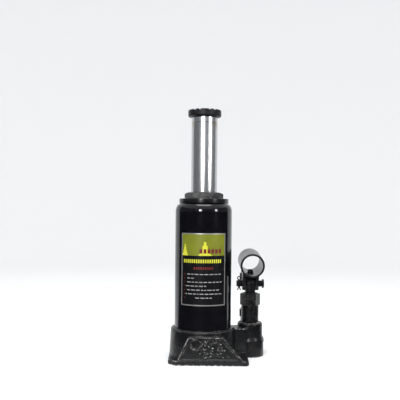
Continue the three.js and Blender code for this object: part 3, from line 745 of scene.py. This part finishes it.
# ---- pieces that are turned ----
def turned_ring(node, material, slot, body, axis="Z"):
    """A fine copy of a plain ring, whose bore, outside and ends are read off its CAD node."""
    centre = middle(node)
    across, along = ((0, 1), 2) if axis == "Z" else ((1, 2), 0)
    points = [v.co / MM for v in frame["nodes"][node].data.vertices]
    reaches = [math.hypot(*(p[i] - centre[i] for i in across)) for p in points]
    inner, outer = min(reaches), max(reaches)
    low, high = node_box(node)
    outline = [(inner, low[along]), (outer, low[along]), (outer, high[along]), (inner, high[along])]
    ring = lathe(node + "_piece", rounded(outline, 0.25, 3, closed=True), closed=True)
    if axis == "X":
        place(ring, ACROSS_X, shift(0, centre.y, centre.z))
    else:
        place(ring, shift(centre.x, centre.y, 0))
    piece(ring, body, material, slot, node)


# ---- tank, cap, gland nut and label ----
def tank():
    """The tank's tube, with its top rolled in to the neck."""
    low, high = node_box("tank_shell")
    rise = high.z - SHOULDER

    def bend(width, height, steps=14):
        turns = (math.pi / 2 * i / steps for i in range(steps + 1))
        return [(NECK_R + width * math.cos(a), SHOULDER + height * math.sin(a)) for a in turns]

    outside = bend(TANK_R - NECK_R, rise)
    inside = bend(TANK_R - TANK_WALL - NECK_R, rise - TANK_WALL)[::-1]
    foot = low.z
    profile = [
        (TANK_R - TANK_WALL, foot), (TANK_R - 0.4, foot), (TANK_R, foot + 0.4), *outside,
        (NECK_BORE, high.z), (NECK_BORE, high.z - TANK_WALL), *inside,
    ]
    shell = lathe("tank", profile, 160, closed=True)
    hole = lathe("filler_hole", bar(FILLER_R + 0.15, 20, 60), 48)
    cut(shell, to_filler(hole))
    piece(shell, "jack_body", TANK_ENAMEL, "black_enamel", "tank_shell")


def to_filler(obj):
    """Lays what was turned about Z along the filler's line, at the back of the tank."""
    return place(obj, turn(-90, "X"), shift(0, 0, middle("filler_plug").z))


def filler_plug():
    """A rubber plug with a domed, ribbed head."""
    head = [  # radius, and how far out of the tank
        (7.0, 0.1), (7.5, 0.7), (7.4, 2.4), (6.4, 3.4), (4.2, 3.6), (3.6, 3.1), (2.2, 3.1), (1.6, 3.8),
        (0, 4),
    ]
    profile = [(0, 29), (FILLER_R - 0.8, 29), (FILLER_R, 30), (FILLER_R, TANK_R + 0.1)]
    profile += [(r, TANK_R + out) for r, out in head]
    plug = to_filler(lathe("filler_plug_piece", rounded(profile, 0.5, 3), 64))
    piece(plug, "jack_body", RUBBER, "rubber", "filler_plug")


def top_cap():
    """The round cover plate on the tank."""
    low, high = node_box("top_cap")
    corners = [(NECK_BORE, low.z), (high.x, low.z), (high.x, high.z), (NECK_BORE, high.z)]
    cap = lathe("top_cap_piece", rounded(corners, 1.1, 5, closed=True), 144, closed=True)
    piece(cap, "jack_body", CAP_ENAMEL, "black_enamel", "top_cap")


def hexagon(corner, start=0.0):
    """The corners of a hexagon, the first of them at the start angle in degrees."""
    angles = (math.radians(60 * k + start) for k in range(6))
    return [(corner * math.cos(a), corner * math.sin(a)) for a in angles]


def turned_hexagon(name, corner, low, high, start=0.0, both_ends=False):
    """A hexagon with its corners turned off to a shallow cone at the top, or at both ends."""
    flat = corner * math.cos(math.pi / 6) - 0.4
    reach = corner + 1
    fall = (reach - flat) / 2
    foot = [(0, low), (flat, low), (reach, low + fall)] if both_ends else [(0, low), (reach, low)]
    crown = lathe("crown", foot + [(reach, high - fall), (flat, high), (0, high)])
    return boolean(extrude(name, hexagon(corner, start), low, high), [crown], "INTERSECT")


def gland_nut():
    """A hexagon head over a skirt, with a bore stepped for the bush, the seal and the wiper."""
    low, high = node_box("gland_nut")
    seat = node_box("top_cap")[1].z + GAP
    guide_r, skirt_r, skirt_foot = 18.4, 23.6, 188.3
    bush_r, bush_top = RAM_R + 1.5, 176
    seal_r, seal_foot, seal_top = RAM_R + 2.8, 189.5, 195.1
    wiper_r, wiper_foot = RAM_R + 2.6, high.z - 3.6
    plain_r = RAM_R + GAP
    nut = turned_hexagon("gland_nut_piece", NUT_CORNER, seat, high.z, NUT_TURN)
    sleeve = lathe("sleeve", [
        (0, low.z), (guide_r, low.z), (guide_r, skirt_foot), (skirt_r, skirt_foot), (skirt_r, seat + 0.6),
        (0, seat + 0.6),
    ])
    boolean(nut, [sleeve], "UNION")
    cut(nut, lathe("bore", [
        (0, low.z - 1), (bush_r, low.z - 1), (bush_r, bush_top), (plain_r, bush_top), (plain_r, seal_foot),
        (seal_r, seal_foot), (seal_r, seal_top), (plain_r, seal_top), (plain_r, wiper_foot),
        (wiper_r, wiper_foot), (wiper_r, high.z + 1), (0, high.z + 1),
    ]))
    bevel(nut, 0.35, 2)
    piece(nut, "jack_body", CAST_SMALL, "cast_iron", "gland_nut")


def label_art():
    """The print, as (left, right, bottom, top, ink) in shares of the label's width and height.

    It is a plain design of bars: a coloured field with stripes, a title bar and rows of short bars.
    """
    left, right, bottom, top, field = 0.028, 0.972, 0.016, 0.984, 0.69
    art = [(0, 1, 0, 1, "foil"), (left, right, bottom, top, "black"), (left, right, field, top, "olive")]
    art += stepped_peak(left, 0.17, field, 0.16) + stepped_peak(0.40, 0.66, field, 0.19)
    art += dashes(0.42, 0.92, 0.722, 0.782, 0.058, 0.022, "red")
    art += dashes(0.07, 0.90, 0.590, 0.640, 0.030, 0.016, "yellow")
    art += dashes(0.30, 0.70, 0.500, 0.535, 0.030, 0.016, "red")
    rows = [(0.16, 0.90), (0.16, 0.32), (0.16, 0.90), (0.12, 0.56), (0.16, 0.84), (0.12, 0.90), (0.34, 0.68)]
    for k, (start, end) in enumerate(rows):
        height = 0.435 - 0.054 * k
        art.append((0.08, 0.105, height - ROW_HALF, height + ROW_HALF, "red"))
        art += word_bars(start, end, height, ROW_HALF, k)
    return art


def dashes(start, end, bottom, top, length, gap, color):
    """A line of short upright dashes, which stands for a line of print."""
    count = int((end - start + gap) / (length + gap))
    lefts = (start + k * (length + gap) for k in range(count))
    return [(left, left + length, bottom, top, color) for left in lefts]


def stepped_peak(start, end, foot, height):
    """A yellow hill in a few steps, on the coloured field."""
    steps = 5
    peak, half = (start + end) / 2, (end - start) / 2
    return [
        (max(peak - half * (1 - k / steps), start), peak + half * (1 - k / steps),
         foot, foot + height * ((k + 1) / steps) ** 1.4, "yellow")
        for k in range(steps)
    ]


def word_bars(start, end, height, half, row):
    """A row of short bars with small gaps."""
    bars = []
    left = start
    k = 0
    while left < end - 0.03:
        length = 0.07 + 0.06 * noise.noise(Vector((row * 3.1, k * 1.7, SEED)))
        right = min(left + length, end)
        bars.append((left, right, height - half, height + half, "white"))
        left = right + 0.022
        k += 1
    return bars


def data_label():
    """A thin curved sheet. Its faces are cut along the print's edges, and each takes the ink it lies in."""
    low, high = node_box("data_label")
    art = label_art()
    columns = [i / LABEL_COLUMNS for i in range(LABEL_COLUMNS + 1)]
    grid_u = sorted({round(v, 4) for v in (*columns, *(edge for mark in art for edge in mark[:2]))})
    grid_v = sorted({round(edge, 4) for mark in art for edge in mark[2:4]})

    def at(u, v, r):
        a = math.radians(-LABEL_HALF_ANGLE + 2 * LABEL_HALF_ANGLE * u)
        return mm(r * math.sin(a), -r * math.cos(a), low.z + (high.z - low.z) * v)

    bm = bmesh.new()
    front, back = (
        [[bm.verts.new(at(u, v, r)) for v in grid_v] for u in grid_u] for r in (LABEL_OUT, LABEL_IN)
    )
    inks = list(INKS)
    printed = []
    for i, (left, right) in enumerate(zip(grid_u, grid_u[1:])):
        strip(bm, front[i], front[i + 1])
        strip(bm, back[i], back[i + 1])
        u = (left + right) / 2
        for bottom, top in zip(grid_v, grid_v[1:]):
            v = (bottom + top) / 2
            inks_here = [ink for x0, x1, y0, y1, ink in art if x0 <= u <= x1 and y0 <= v <= y1]
            printed.append(inks.index(inks_here[-1]))
        printed += [inks.index("foil")] * (len(grid_v) - 1)
    for j in (0, -1):
        strip(bm, front[j], back[j])
        strip(bm, [row[j] for row in front], [row[j] for row in back])
    sheet = mesh_object("data_label_piece", bm)
    piece(sheet, "jack_body", INKS["foil"], "label", "data_label")
    for name in inks[1:]:
        sheet.data.materials.append(INKS[name])
    for face, index in zip(sheet.data.polygons, printed):
        face.material_index = index


# ---- ram, screw and saddle ----
def ram():
    """The chromed ram: a shank for the piston, a thin groove near the top and a bore for the screw."""
    low, high = node_box("ram_rod")
    groove, shank, bore_floor = high.z - GROOVE_DOWN, low.z + 24, high.z - 124
    neck, bore = 12.0, 10.6
    side = [(RAM_R, 0.75), (RAM_R - 0.3, 0.6), (RAM_R - 0.8, 0.35)]
    profile = [
        (0, low.z), (neck - 0.8, low.z), (neck, low.z + 0.8), (neck, shank), (RAM_R - 0.5, shank),
        (RAM_R, shank + 0.5),
        *((r, groove - out) for r, out in side), *((r, groove + out) for r, out in side[::-1]),
        *arc((RAM_R - 1, high.z - 1), 1, 0, 90, 5), (bore + 0.6, high.z), (bore, high.z - 0.6),
        (bore, bore_floor), (0, bore_floor),
    ]
    piece(lathe("ram_piece", profile, 144), "ram", CHROME, "chrome", "ram_rod", angle=40)


def extension_screw():
    """The screw inside the ram, with a real trapezoid thread."""
    low, high = node_box("extension_screw")
    outer = high.x
    shoulder = node_box("ram_rod")[1].z + GAP
    sides, step, fade_length = 64, 0.4, 2
    foot, top = low.z + THREAD["from_foot"], shoulder - THREAD["runout"]

    def thread_r(angle, z):
        phase = (z / THREAD["pitch"] - angle / (2 * math.pi)) % 1
        wave = min(max((abs(phase - 0.5) - 0.14) / 0.22, 0), 1)
        fade = min(max((z - foot) / fade_length, 0), 1) * min(max((top - z) / fade_length, 0), 1)
        return outer - THREAD["depth"] * wave * fade

    def thread_ring(z):
        points = ((thread_r(a, z), a) for a in ring_angles(sides))
        return [bm.verts.new(mm(r * math.cos(a), r * math.sin(a), z)) for r, a in points]

    bm = bmesh.new()
    threaded = [foot + step * k for k in range(int((top - foot) / step) + 1)]
    tenon = [(outer - 0.6, shoulder), (TENON_R, shoulder), (TENON_R, high.z - 0.5), (TENON_R - 0.5, high.z)]
    rings = [new_ring(bm, outer - 1.2, low.z, sides)]
    rings += [thread_ring(z) for z in (low.z + 1.2, *threaded, top, shoulder - 0.6)]
    rings += [new_ring(bm, r, z, sides) for r, z in tenon]
    screw = skinned("extension_screw_piece", bm, rings)
    piece(screw, "screw", STEEL, "bright_steel", "extension_screw")


def saddle():
    """The head, with a grid of grooves cut in its top."""
    low, high = node_box("saddle")
    outer, floor = high.x, high.z - 1.3
    profile = rounded([(0, low.z), (outer, low.z, 1.6), (outer, high.z, 1.0), (0, high.z)], 1.0, 5)
    disc = lathe("saddle_piece", profile, 128)
    cut(disc, lathe("tenon_hole", bar(TENON_R + GAP, low.z - 1, high.z - 2.9), 48))
    for at in (-12, -6, 6, 12):
        near, far = at - GROOVE_HALF, at + GROOVE_HALF
        cut(disc, box("groove", (near, -30, floor), (far, 30, high.z + 1)))
        cut(disc, box("groove", (-30, near, floor), (30, far, high.z + 1)))
    bevel(disc, 0.22, 2, 40)
    piece(disc, "saddle", SADDLE_STEEL, "black_steel", "saddle")


# ---- pump, link and handle socket ----
def pump_barrel():
    """The barrel: a shank in the base, a round neck, and a hexagon with both ends chamfered."""
    low, high = node_box("pump_barrel")
    shank_r, neck_r, edge = 9.5, 10.9, 0.4
    neck_foot, neck_top, hexagon_foot, across = 42.3, 62.6, 63.0, 22
    bore_r, seal_r, seal_foot = 6.3, 9.0, high.z - 4.9
    shank = lathe("shank", [
        (0, low.z), (shank_r - edge, low.z), (shank_r, low.z + edge), (shank_r, neck_foot),
        (neck_r - edge, neck_foot), (neck_r, neck_foot + 0.5), (neck_r, neck_top - edge),
        (neck_r - edge, neck_top), (neck_r - edge, hexagon_foot + 1), (0, hexagon_foot + 1),
    ])
    corner = across / math.sqrt(3)
    body = turned_hexagon("pump_barrel_piece", corner, hexagon_foot, high.z, both_ends=True)
    boolean(body, [shank], "UNION")
    cut(body, lathe("bore", [
        (0, low.z - 1), (bore_r, low.z - 1), (bore_r, seal_foot), (seal_r, seal_foot), (seal_r, high.z + 1),
        (0, high.z + 1),
    ], 64))
    bevel(body, 0.3, 2)
    place(body, shift(PUMP.x, PUMP.y, 0))
    piece(body, "jack_body", CAST_SMALL, "cast_iron", "pump_barrel")


def pump_plunger():
    """A turned rod whose head has two flats and a slotted eye for the lever's pin."""
    low, high = node_box("pump_plunger")
    head_foot, head_r, flat = 79.3, 8.7, 5.9
    tip_r, rod_r, step = 3, 6, 33
    head = lathe("pump_plunger_piece", [
        (0, head_foot), (head_r - 0.5, head_foot), (head_r, head_foot + 0.5), (head_r, 99), (0, 99),
    ])
    crown = rod_x("crown", 8.3, -20, 20, 0, PIN_Z)
    skirt = box("skirt", (-20, -20, head_foot - 1), (20, 20, PIN_Z))
    boolean(crown, [skirt], "UNION")
    flats = box("flats", (-flat, -20, head_foot - 2), (flat, 20, high.z + 5))
    boolean(head, [crown, flats], "INTERSECT")
    bevel(head, 0.35, 2)
    stem = lathe("stem", [
        (0, low.z), (tip_r - 0.3, low.z), (tip_r, low.z + 0.4), (tip_r, step - 0.4),
        (rod_r - 0.4, step - 0.4), (rod_r, step), (rod_r, 80), (0, 80),
    ])
    boolean(head, [stem], "UNION")
    eye = extrude("eye", lobed((-1.3, 0), (1.3, 0), 4.5), -20, 20)
    cut(head, place(eye, PLATE_X, shift(0, 0, PIN_Z)))
    place(head, shift(PUMP.x, PUMP.y, 0))
    piece(head, "plunger", BLACK_STEEL, "black_steel", "pump_plunger")


def on_socket(obj):
    """Lays what was turned about Z along the handle socket's axis."""
    return place(obj, turn(SOCKET_TURN, "X"), shift(*SOCKET_MIDDLE))


def socket_tube():
    """The tube that takes the handle, with a hole for the stop rivet."""
    half = SOCKET_LENGTH / 2
    corners = [(SOCKET_BORE, -half), (SOCKET_R, -half), (SOCKET_R, half), (SOCKET_BORE, half)]
    tube = on_socket(lathe("socket_tube_piece", rounded(corners, 0.6, 4, closed=True), 128, closed=True))
    cut(tube, rod_z("rivet_hole", 2.8, 95, SOCKET_MIDDLE.z - 5, PUMP.x, PUMP.y + 4))
    piece(tube, "socket", SOCKET_PAINT, "black_steel", "socket_tube")


def ear_outline():
    """An ear in (y, z): a lobe round each pin and a cheek that rises to the tube."""
    foot, far = Vector((PUMP.y, PIN_Z)), Vector((FULCRUM.y, FULCRUM.z))
    along = math.degrees(math.atan2(far.y - foot.y, far.x - foot.x))
    lobe, cheek_top = 8.4, 107.6
    lobes = arc(foot, lobe, 180, 270 + along, 14) + arc(far, lobe, -90 + along, 60, 16)
    return lobes + [(far.x - 1, cheek_top), (PUMP.y - 11, cheek_top), (PUMP.y - 11.4, 100)]


def socket_ear(name):
    """One of the two plates that carry the socket's pins, cut to sit on the tube."""
    low, high = node_box(name)
    ear = place(extrude(name + "_piece", ear_outline(), low.x, high.x), PLATE_X)
    tube = on_socket(lathe("tube", bar(SOCKET_R + 0.05, -40, 40), 128))
    pins = [(PUMP.y, PIN_Z), (FULCRUM.y, FULCRUM.z)]
    holes = [rod_x("hole", 4.3, low.x - 5, high.x + 5, y, z) for y, z in pins]
    cut(ear, tube, *holes)
    bevel(ear, 0.45, 3)
    piece(ear, "socket", SOCKET_PAINT, "black_steel", name)


def stop_rivet():
    """The rivet in the tube's floor that stops the handle, with a domed head inside the bore."""
    low, high = node_box("handle_stop_rivet")
    centre = middle("handle_stop_rivet")
    stem_r, head_r, head_foot = 2.5, 3.5, low.z + 1.7
    profile = [
        (0, low.z), (stem_r - 0.3, low.z), (stem_r, low.z + 0.3), (stem_r, head_foot - 0.1),
        (head_r, head_foot), *arc((0.6, high.z - 2.6), 2.9, 0, 80, 10), (0, high.z),
    ]
    rivet = place(lathe("stop_rivet_piece", profile, 48), shift(centre.x, centre.y, 0))
    piece(rivet, "socket", BLACK_STEEL, "black_steel", "handle_stop_rivet")


def plunger_pin():
    """A pin along X with a flat head at its right and a cross hole for a cotter near its left end."""
    node = "plunger_pin"
    low, high = node_box(node)
    centre = middle(node)
    head, head_r = high.x - 2.2, 5.6
    profile = rounded([
        (0, low.x), (PIN_R, low.x, 0.5), (PIN_R, head, 0.1), (head_r, head, 0.3), (head_r, high.x, 0.9),
        (0, high.x),
    ], 0.5, 4)
    pin = lathe_x(node + "_piece", profile, centre.y, centre.z)
    cut(pin, rod_z("cross_hole", 1.3, centre.z - 9, centre.z + 9, low.x + 3.4, centre.y, 24))
    piece(pin, "socket", BLACK_STEEL, "black_steel", node)


def riveted_pin(node, body):
    """A pin along X whose ends are peened into low domed heads."""
    high = node_box(node)[1]
    centre = middle(node)
    reach = high.x - centre.x
    head_r, neck = 5.2, reach - 1.2
    profile = rounded([
        (0, -reach), (head_r, -reach, 1.1), (head_r, -neck, 0.1), (PIN_R, -neck, 0.1),
        (PIN_R, neck, 0.1), (head_r, neck, 0.1), (head_r, reach, 1.1), (0, reach),
    ], 0.5, 4)
    pin = place(lathe_x(node + "_piece", profile, centre.y, centre.z), shift(centre.x, 0, 0))
    piece(pin, body, BLACK_STEEL, "black_steel", node)


def link_bar():
    """A forged bar with an eye at each end."""
    low, high = node_box("link_bar")
    outline = lobed((FULCRUM.y, LINK_FOOT.z), (FULCRUM.y, FULCRUM.z), 6)
    link = place(extrude("link_bar_piece", outline, low.x, high.x), PLATE_X)
    for z in (LINK_FOOT.z, FULCRUM.z):
        cut(link, rod_x("eye", 4.2, low.x - 5, high.x + 5, FULCRUM.y, z))
    bevel(link, 0.5, 3)
    piece(link, "link", CAST_SMALL, "cast_iron", "link_bar")


# ---- valve and plugs ----
def release_valve():
    """The release screw, whose end has a slot for the handle's notched tip."""
    low, high = node_box("release_valve_screw")
    r, slot_half = 5, 1.3
    profile = rounded([(0, low.x), (1.2, low.x), (r, low.x + 3.8), (r, high.x, 0.6), (0, high.x)], 0.2, 3)
    screw = place(lathe("release_valve_piece", profile, 64), ACROSS_X)
    cut(screw, box("slot", (high.x - 6, -9, -slot_half), (high.x + 2, 9, slot_half)))
    bevel(screw, 0.2, 2, 40)
    place(screw, shift(0, VALVE.y, VALVE.z))
    piece(screw, "release_valve", STEEL, "bright_steel", "release_valve_screw")


def passage_plug():
    """A screwed plug on the pump's line, with a hexagon socket in its face."""
    start, end, r, key = 76, 80.84, 4, 4
    profile = rounded([(0, start), (r, start), (r, end, 0.5), (0, end)], 0.4, 3)
    plug = lathe("passage_plug_piece", profile, 64)
    cut(plug, extrude("key", hexagon(key / math.sqrt(3)), end - 2.6, end + 1))
    place(plug, ACROSS_X, TO_PUMP, shift(0, 0, middle("passage_plug").z))
    piece(plug, "jack_body", BLACK_STEEL, "black_steel", "passage_plug")


def strainer_plug():
    """The round, slightly domed plug in the front panel."""
    low, high = node_box("strainer_plug")
    inner, outer, r = -high.y, -low.y, PLUG_R - 0.1
    profile = [(0, inner), (r, inner), (r, outer - 0.8), (4.2, outer - 0.1, 0.8), (0, outer)]
    plug = lathe("strainer_plug_piece", rounded(profile, 0.4, 4))
    place(plug, turn(90, "X"), shift(PLUG.x, 0, PLUG.z))
    piece(plug, "jack_body", CAST, "black_steel", "strainer_plug")


# ---- small pieces ----
def tube_along(name, points, radius, across, sides=12):
    """A round wire along a line of points in mm, with closed ends. The line is never parallel to across."""
    bm = bmesh.new()
    rings = []
    line = [Vector(p) for p in points]
    for i, at in enumerate(line):
        ahead = (line[min(i + 1, len(line) - 1)] - line[max(i - 1, 0)]).normalized()
        side = across.cross(ahead).normalized()
        up = ahead.cross(side)
        spokes = (side * math.cos(a) + up * math.sin(a) for a in ring_angles(sides))
        rings.append([bm.verts.new(mm(*(at + spoke * radius))) for spoke in spokes])
    return skinned(name, bm, rings)


def cotter(node, body):
    """A split pin bent from wire: a round eye above the clevis pin and two legs that part below it."""
    low, high = node_box(node)
    x, y = (low.x + high.x) / 2, middle(node).y
    wire, gap, eye_r = 0.72, 0.74, 1.95
    eye_z, foot_z = high.z - eye_r - wire, low.z + wire
    bend_z = foot_z + 3.4
    line = [(1.9, foot_z), (1.2, foot_z + 1.6), (0.6, bend_z), (gap, bend_z + 1), (gap, eye_z - eye_r - 0.2)]
    turns = (math.radians(a) for a in range(20, 181, 16))
    line += [(eye_r * math.sin(a), eye_z - eye_r * math.cos(a)) for a in turns]
    legs = [tube_along("leg", [(x + side * out, y, z) for out, z in line], wire, Y) for side in (-1, 1)]
    piece(join(node + "_piece", legs), body, DARK_STEEL, "bright_steel", node)


def discharge_spring():
    """The coil spring behind the discharge ball."""
    start, length, coil_r, wire, turns, steps = 28.8, 6.0, 2.6, 0.45, 3.5, 112
    line = []
    for k in range(steps + 1):
        a = 2 * math.pi * turns * k / steps
        line.append((start + length * k / steps, coil_r * math.sin(a), -coil_r * math.cos(a)))
    spring = tube_along("discharge_spring_piece", line, wire, X)
    height = middle("discharge_ball").z
    place(spring, TO_PUMP, shift(0, 0, height))
    piece(spring, "jack_body", SPRING_STEEL, "bright_steel", "discharge_spring")
    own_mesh(spring)


def ball(node, body):
    """A ball of the size of its CAD node."""
    low, high = node_box(node)
    centre, r = middle(node), (high.z - low.z) / 2
    profile = [(0, centre.z - r), *arc((0, centre.z), r, -84, 84, 28), (0, centre.z + r)]
    obj = place(lathe(node + "_piece", profile, 48), shift(centre.x, centre.y, 0))
    piece(obj, body, BALL_STEEL, "bright_steel", node)


def keep(node, material, slot):
    """A hidden piece that keeps its CAD mesh and gets a better material."""
    obj = frame["nodes"][node]
    obj.data.materials.clear()
    obj.data.materials.append(material)


RINGS = [  # node, material, slot, body, and the axis where it isn't Z
    ("tank_base_gasket", FIBRE, "fibre", "jack_body"),
    ("cylinder_base_washer", COPPER, "copper", "jack_body"),
    ("pump_barrel_washer", COPPER, "copper", "jack_body"),
    ("gland_guide_bush", BRONZE, "bronze", "jack_body"),
    ("ram_rod_seal", URETHANE, "urethane", "jack_body"),
    ("ram_wiper_ring", RUBBER, "rubber", "jack_body"),
    ("pump_rod_seal", URETHANE, "urethane", "jack_body"),
    ("pump_wiper_ring", RUBBER, "rubber", "jack_body"),
    ("piston_cup_spreader", STEEL, "bright_steel", "ram"),
    ("release_valve_seal", RUBBER, "rubber", "release_valve", "X"),
]
BALLS = [  # node and body
    ("intake_ball", "intake_ball"), ("discharge_ball", "discharge_ball"), ("release_ball", "jack_body"),
]
KEPT = [  # node, material and slot
    ("inner_cylinder", STEEL, "bright_steel"), ("piston_head", STEEL, "bright_steel"),
    ("piston_retaining_nut", STEEL, "bright_steel"), ("intake_strainer", BRONZE, "bronze"),
    ("piston_cup_seal", URETHANE, "urethane"), ("plunger_cup_seal", URETHANE, "urethane"),
]


def build_jack():
    """Makes every piece."""
    for make in (base_casting, tank, filler_plug, data_label, top_cap, gland_nut, ram, extension_screw,
                 saddle, pump_barrel, pump_plunger, socket_tube):
        make()
    socket_ear("socket_ear_left")
    socket_ear("socket_ear_right")
    stop_rivet()
    plunger_pin()
    cotter("plunger_cotter", "socket")
    riveted_pin("fulcrum_pin", "socket")
    riveted_pin("link_pin", "jack_body")
    for make in (link_bar, release_valve, passage_plug, strainer_plug, discharge_spring):
        make()
    for ring in RINGS:
        turned_ring(*ring)
    for node, body in BALLS:
        ball(node, body)
    for kept in KEPT:
        keep(*kept)


build_jack()


# ---- stage ----
def stage_floor():
    """A pale round dish whose far edge rises, so that no horizon shows."""
    flat, bend, top, edge = 1300, 900, 1600, 2230
    rise = arc((flat, bend - FLOOR_DROP), bend, -90, 0, 18)
    floor = lathe("floor", [
        (0, -FLOOR_DROP), (flat, -FLOOR_DROP), *rise, (flat + bend, top), (edge, top), (edge, -60), (0, -60),
    ], 128)
    smooth_shade(floor, 60)
    floor.data.materials.append(matte("floor_white", (0.88, 0.88, 0.88)))


def matte(name, color):
    """A plain matt material, for the stage only."""
    return Surface(name, Base_Color=color, Roughness=0.9).material


def hood_band(name, profile, color):
    """A band of the hood, from a profile of (radius, height) turned about Z across the front."""
    steps = 40
    bm = bmesh.new()
    rows = []
    for k in range(steps + 1):
        a = math.radians(-HOOD_HALF_ANGLE + 2 * HOOD_HALF_ANGLE * k / steps)
        rows.append([bm.verts.new(mm(r * math.sin(a), -r * math.cos(a), z)) for r, z in profile])
    for here, there in zip(rows, rows[1:]):
        strip(bm, here, there)
    band = mesh_object(name, bm)
    band.data.materials.append(matte(name, color))
    band.visible_camera = False
    band.visible_diffuse = False
    band.visible_shadow = False


def dark_hood():
    """A wall and floor in front of the jack that only reflections see.

    Its lower band is black, so that the black paint reads as black, and its upper band is grey and shows in
    the ram. It leaves the back open, and that shows as pale strips down the sides of the tank.
    """
    inner, outer, split, top = 112, 1050, 195, 700
    hood_band("hood_black", [(inner, 0.2), (outer, 0.2), (outer, split)], (0.004, 0.004, 0.004))
    hood_band("hood_grey", [(outer, split), (outer, top)], (0.16, 0.165, 0.17))


def softbox(name, azimuth, elevation, distance, size, power):
    """An area light that faces the jack. Azimuth 0 is in front of it and grows towards its right."""
    a, e = math.radians(azimuth), math.radians(elevation)
    aim = Vector((0, 0, 150))
    at = aim + Vector((math.sin(a) * math.cos(e), -math.cos(a) * math.cos(e), math.sin(e))) * distance
    light = bpy.data.lights.new(name, "AREA")
    light.shape = "RECTANGLE"
    light.size, light.size_y = (mm(v) for v in size)
    light.energy = power
    obj = bpy.data.objects.new(name, light)
    obj.location = mm(*at)
    obj.rotation_euler = (aim - at).to_track_quat("-Z", "Y").to_euler()
    bpy.context.scene.collection.objects.link(obj)


def pale_world(color, strength):
    """An even, nearly white surround."""
    world = bpy.data.worlds.new("pale")
    world.use_nodes = True
    background = world.node_tree.nodes["Background"]
    background.inputs["Color"].default_value = (*color, 1)
    background.inputs["Strength"].default_value = strength
    bpy.context.scene.world = world


# ---- lights ----
PALE_BLUE = (0.96, 0.98, 1.0)
SOFTBOXES = [  # name, azimuth and elevation in degrees, distance and size in mm, power in watts
    ("key_left", -14, 13.8, 900, (150, 235), 4),
    ("key_right", 51, 13.8, 900, (130, 235), 2.2),
    ("top", 0, 80, 1100, (700, 700), 8),
]
stage_floor()
dark_hood()
pale_world(PALE_BLUE, 0.95)
for lamp in SOFTBOXES:
    softbox(*lamp)

# ---- camera ----
CAMERA_AT = (-4.7, -775, 183)
LENS, SENSOR = 56.25, 36
ROLL = -0.6
SHIFT_UP = 0.025
NEAR = 0.01
camera_data = bpy.data.cameras.new("camera")
camera_data.lens = LENS
camera_data.sensor_width = SENSOR
camera_data.shift_y = SHIFT_UP
camera_data.clip_start = NEAR
camera = bpy.data.objects.new("camera", camera_data)
camera.location = mm(*CAMERA_AT)
camera.rotation_euler = (math.radians(90), math.radians(ROLL), 0)
bpy.context.scene.collection.objects.link(camera)
bpy.context.scene.camera = camera
bpy.context.scene.view_settings.view_transform = "Standard"
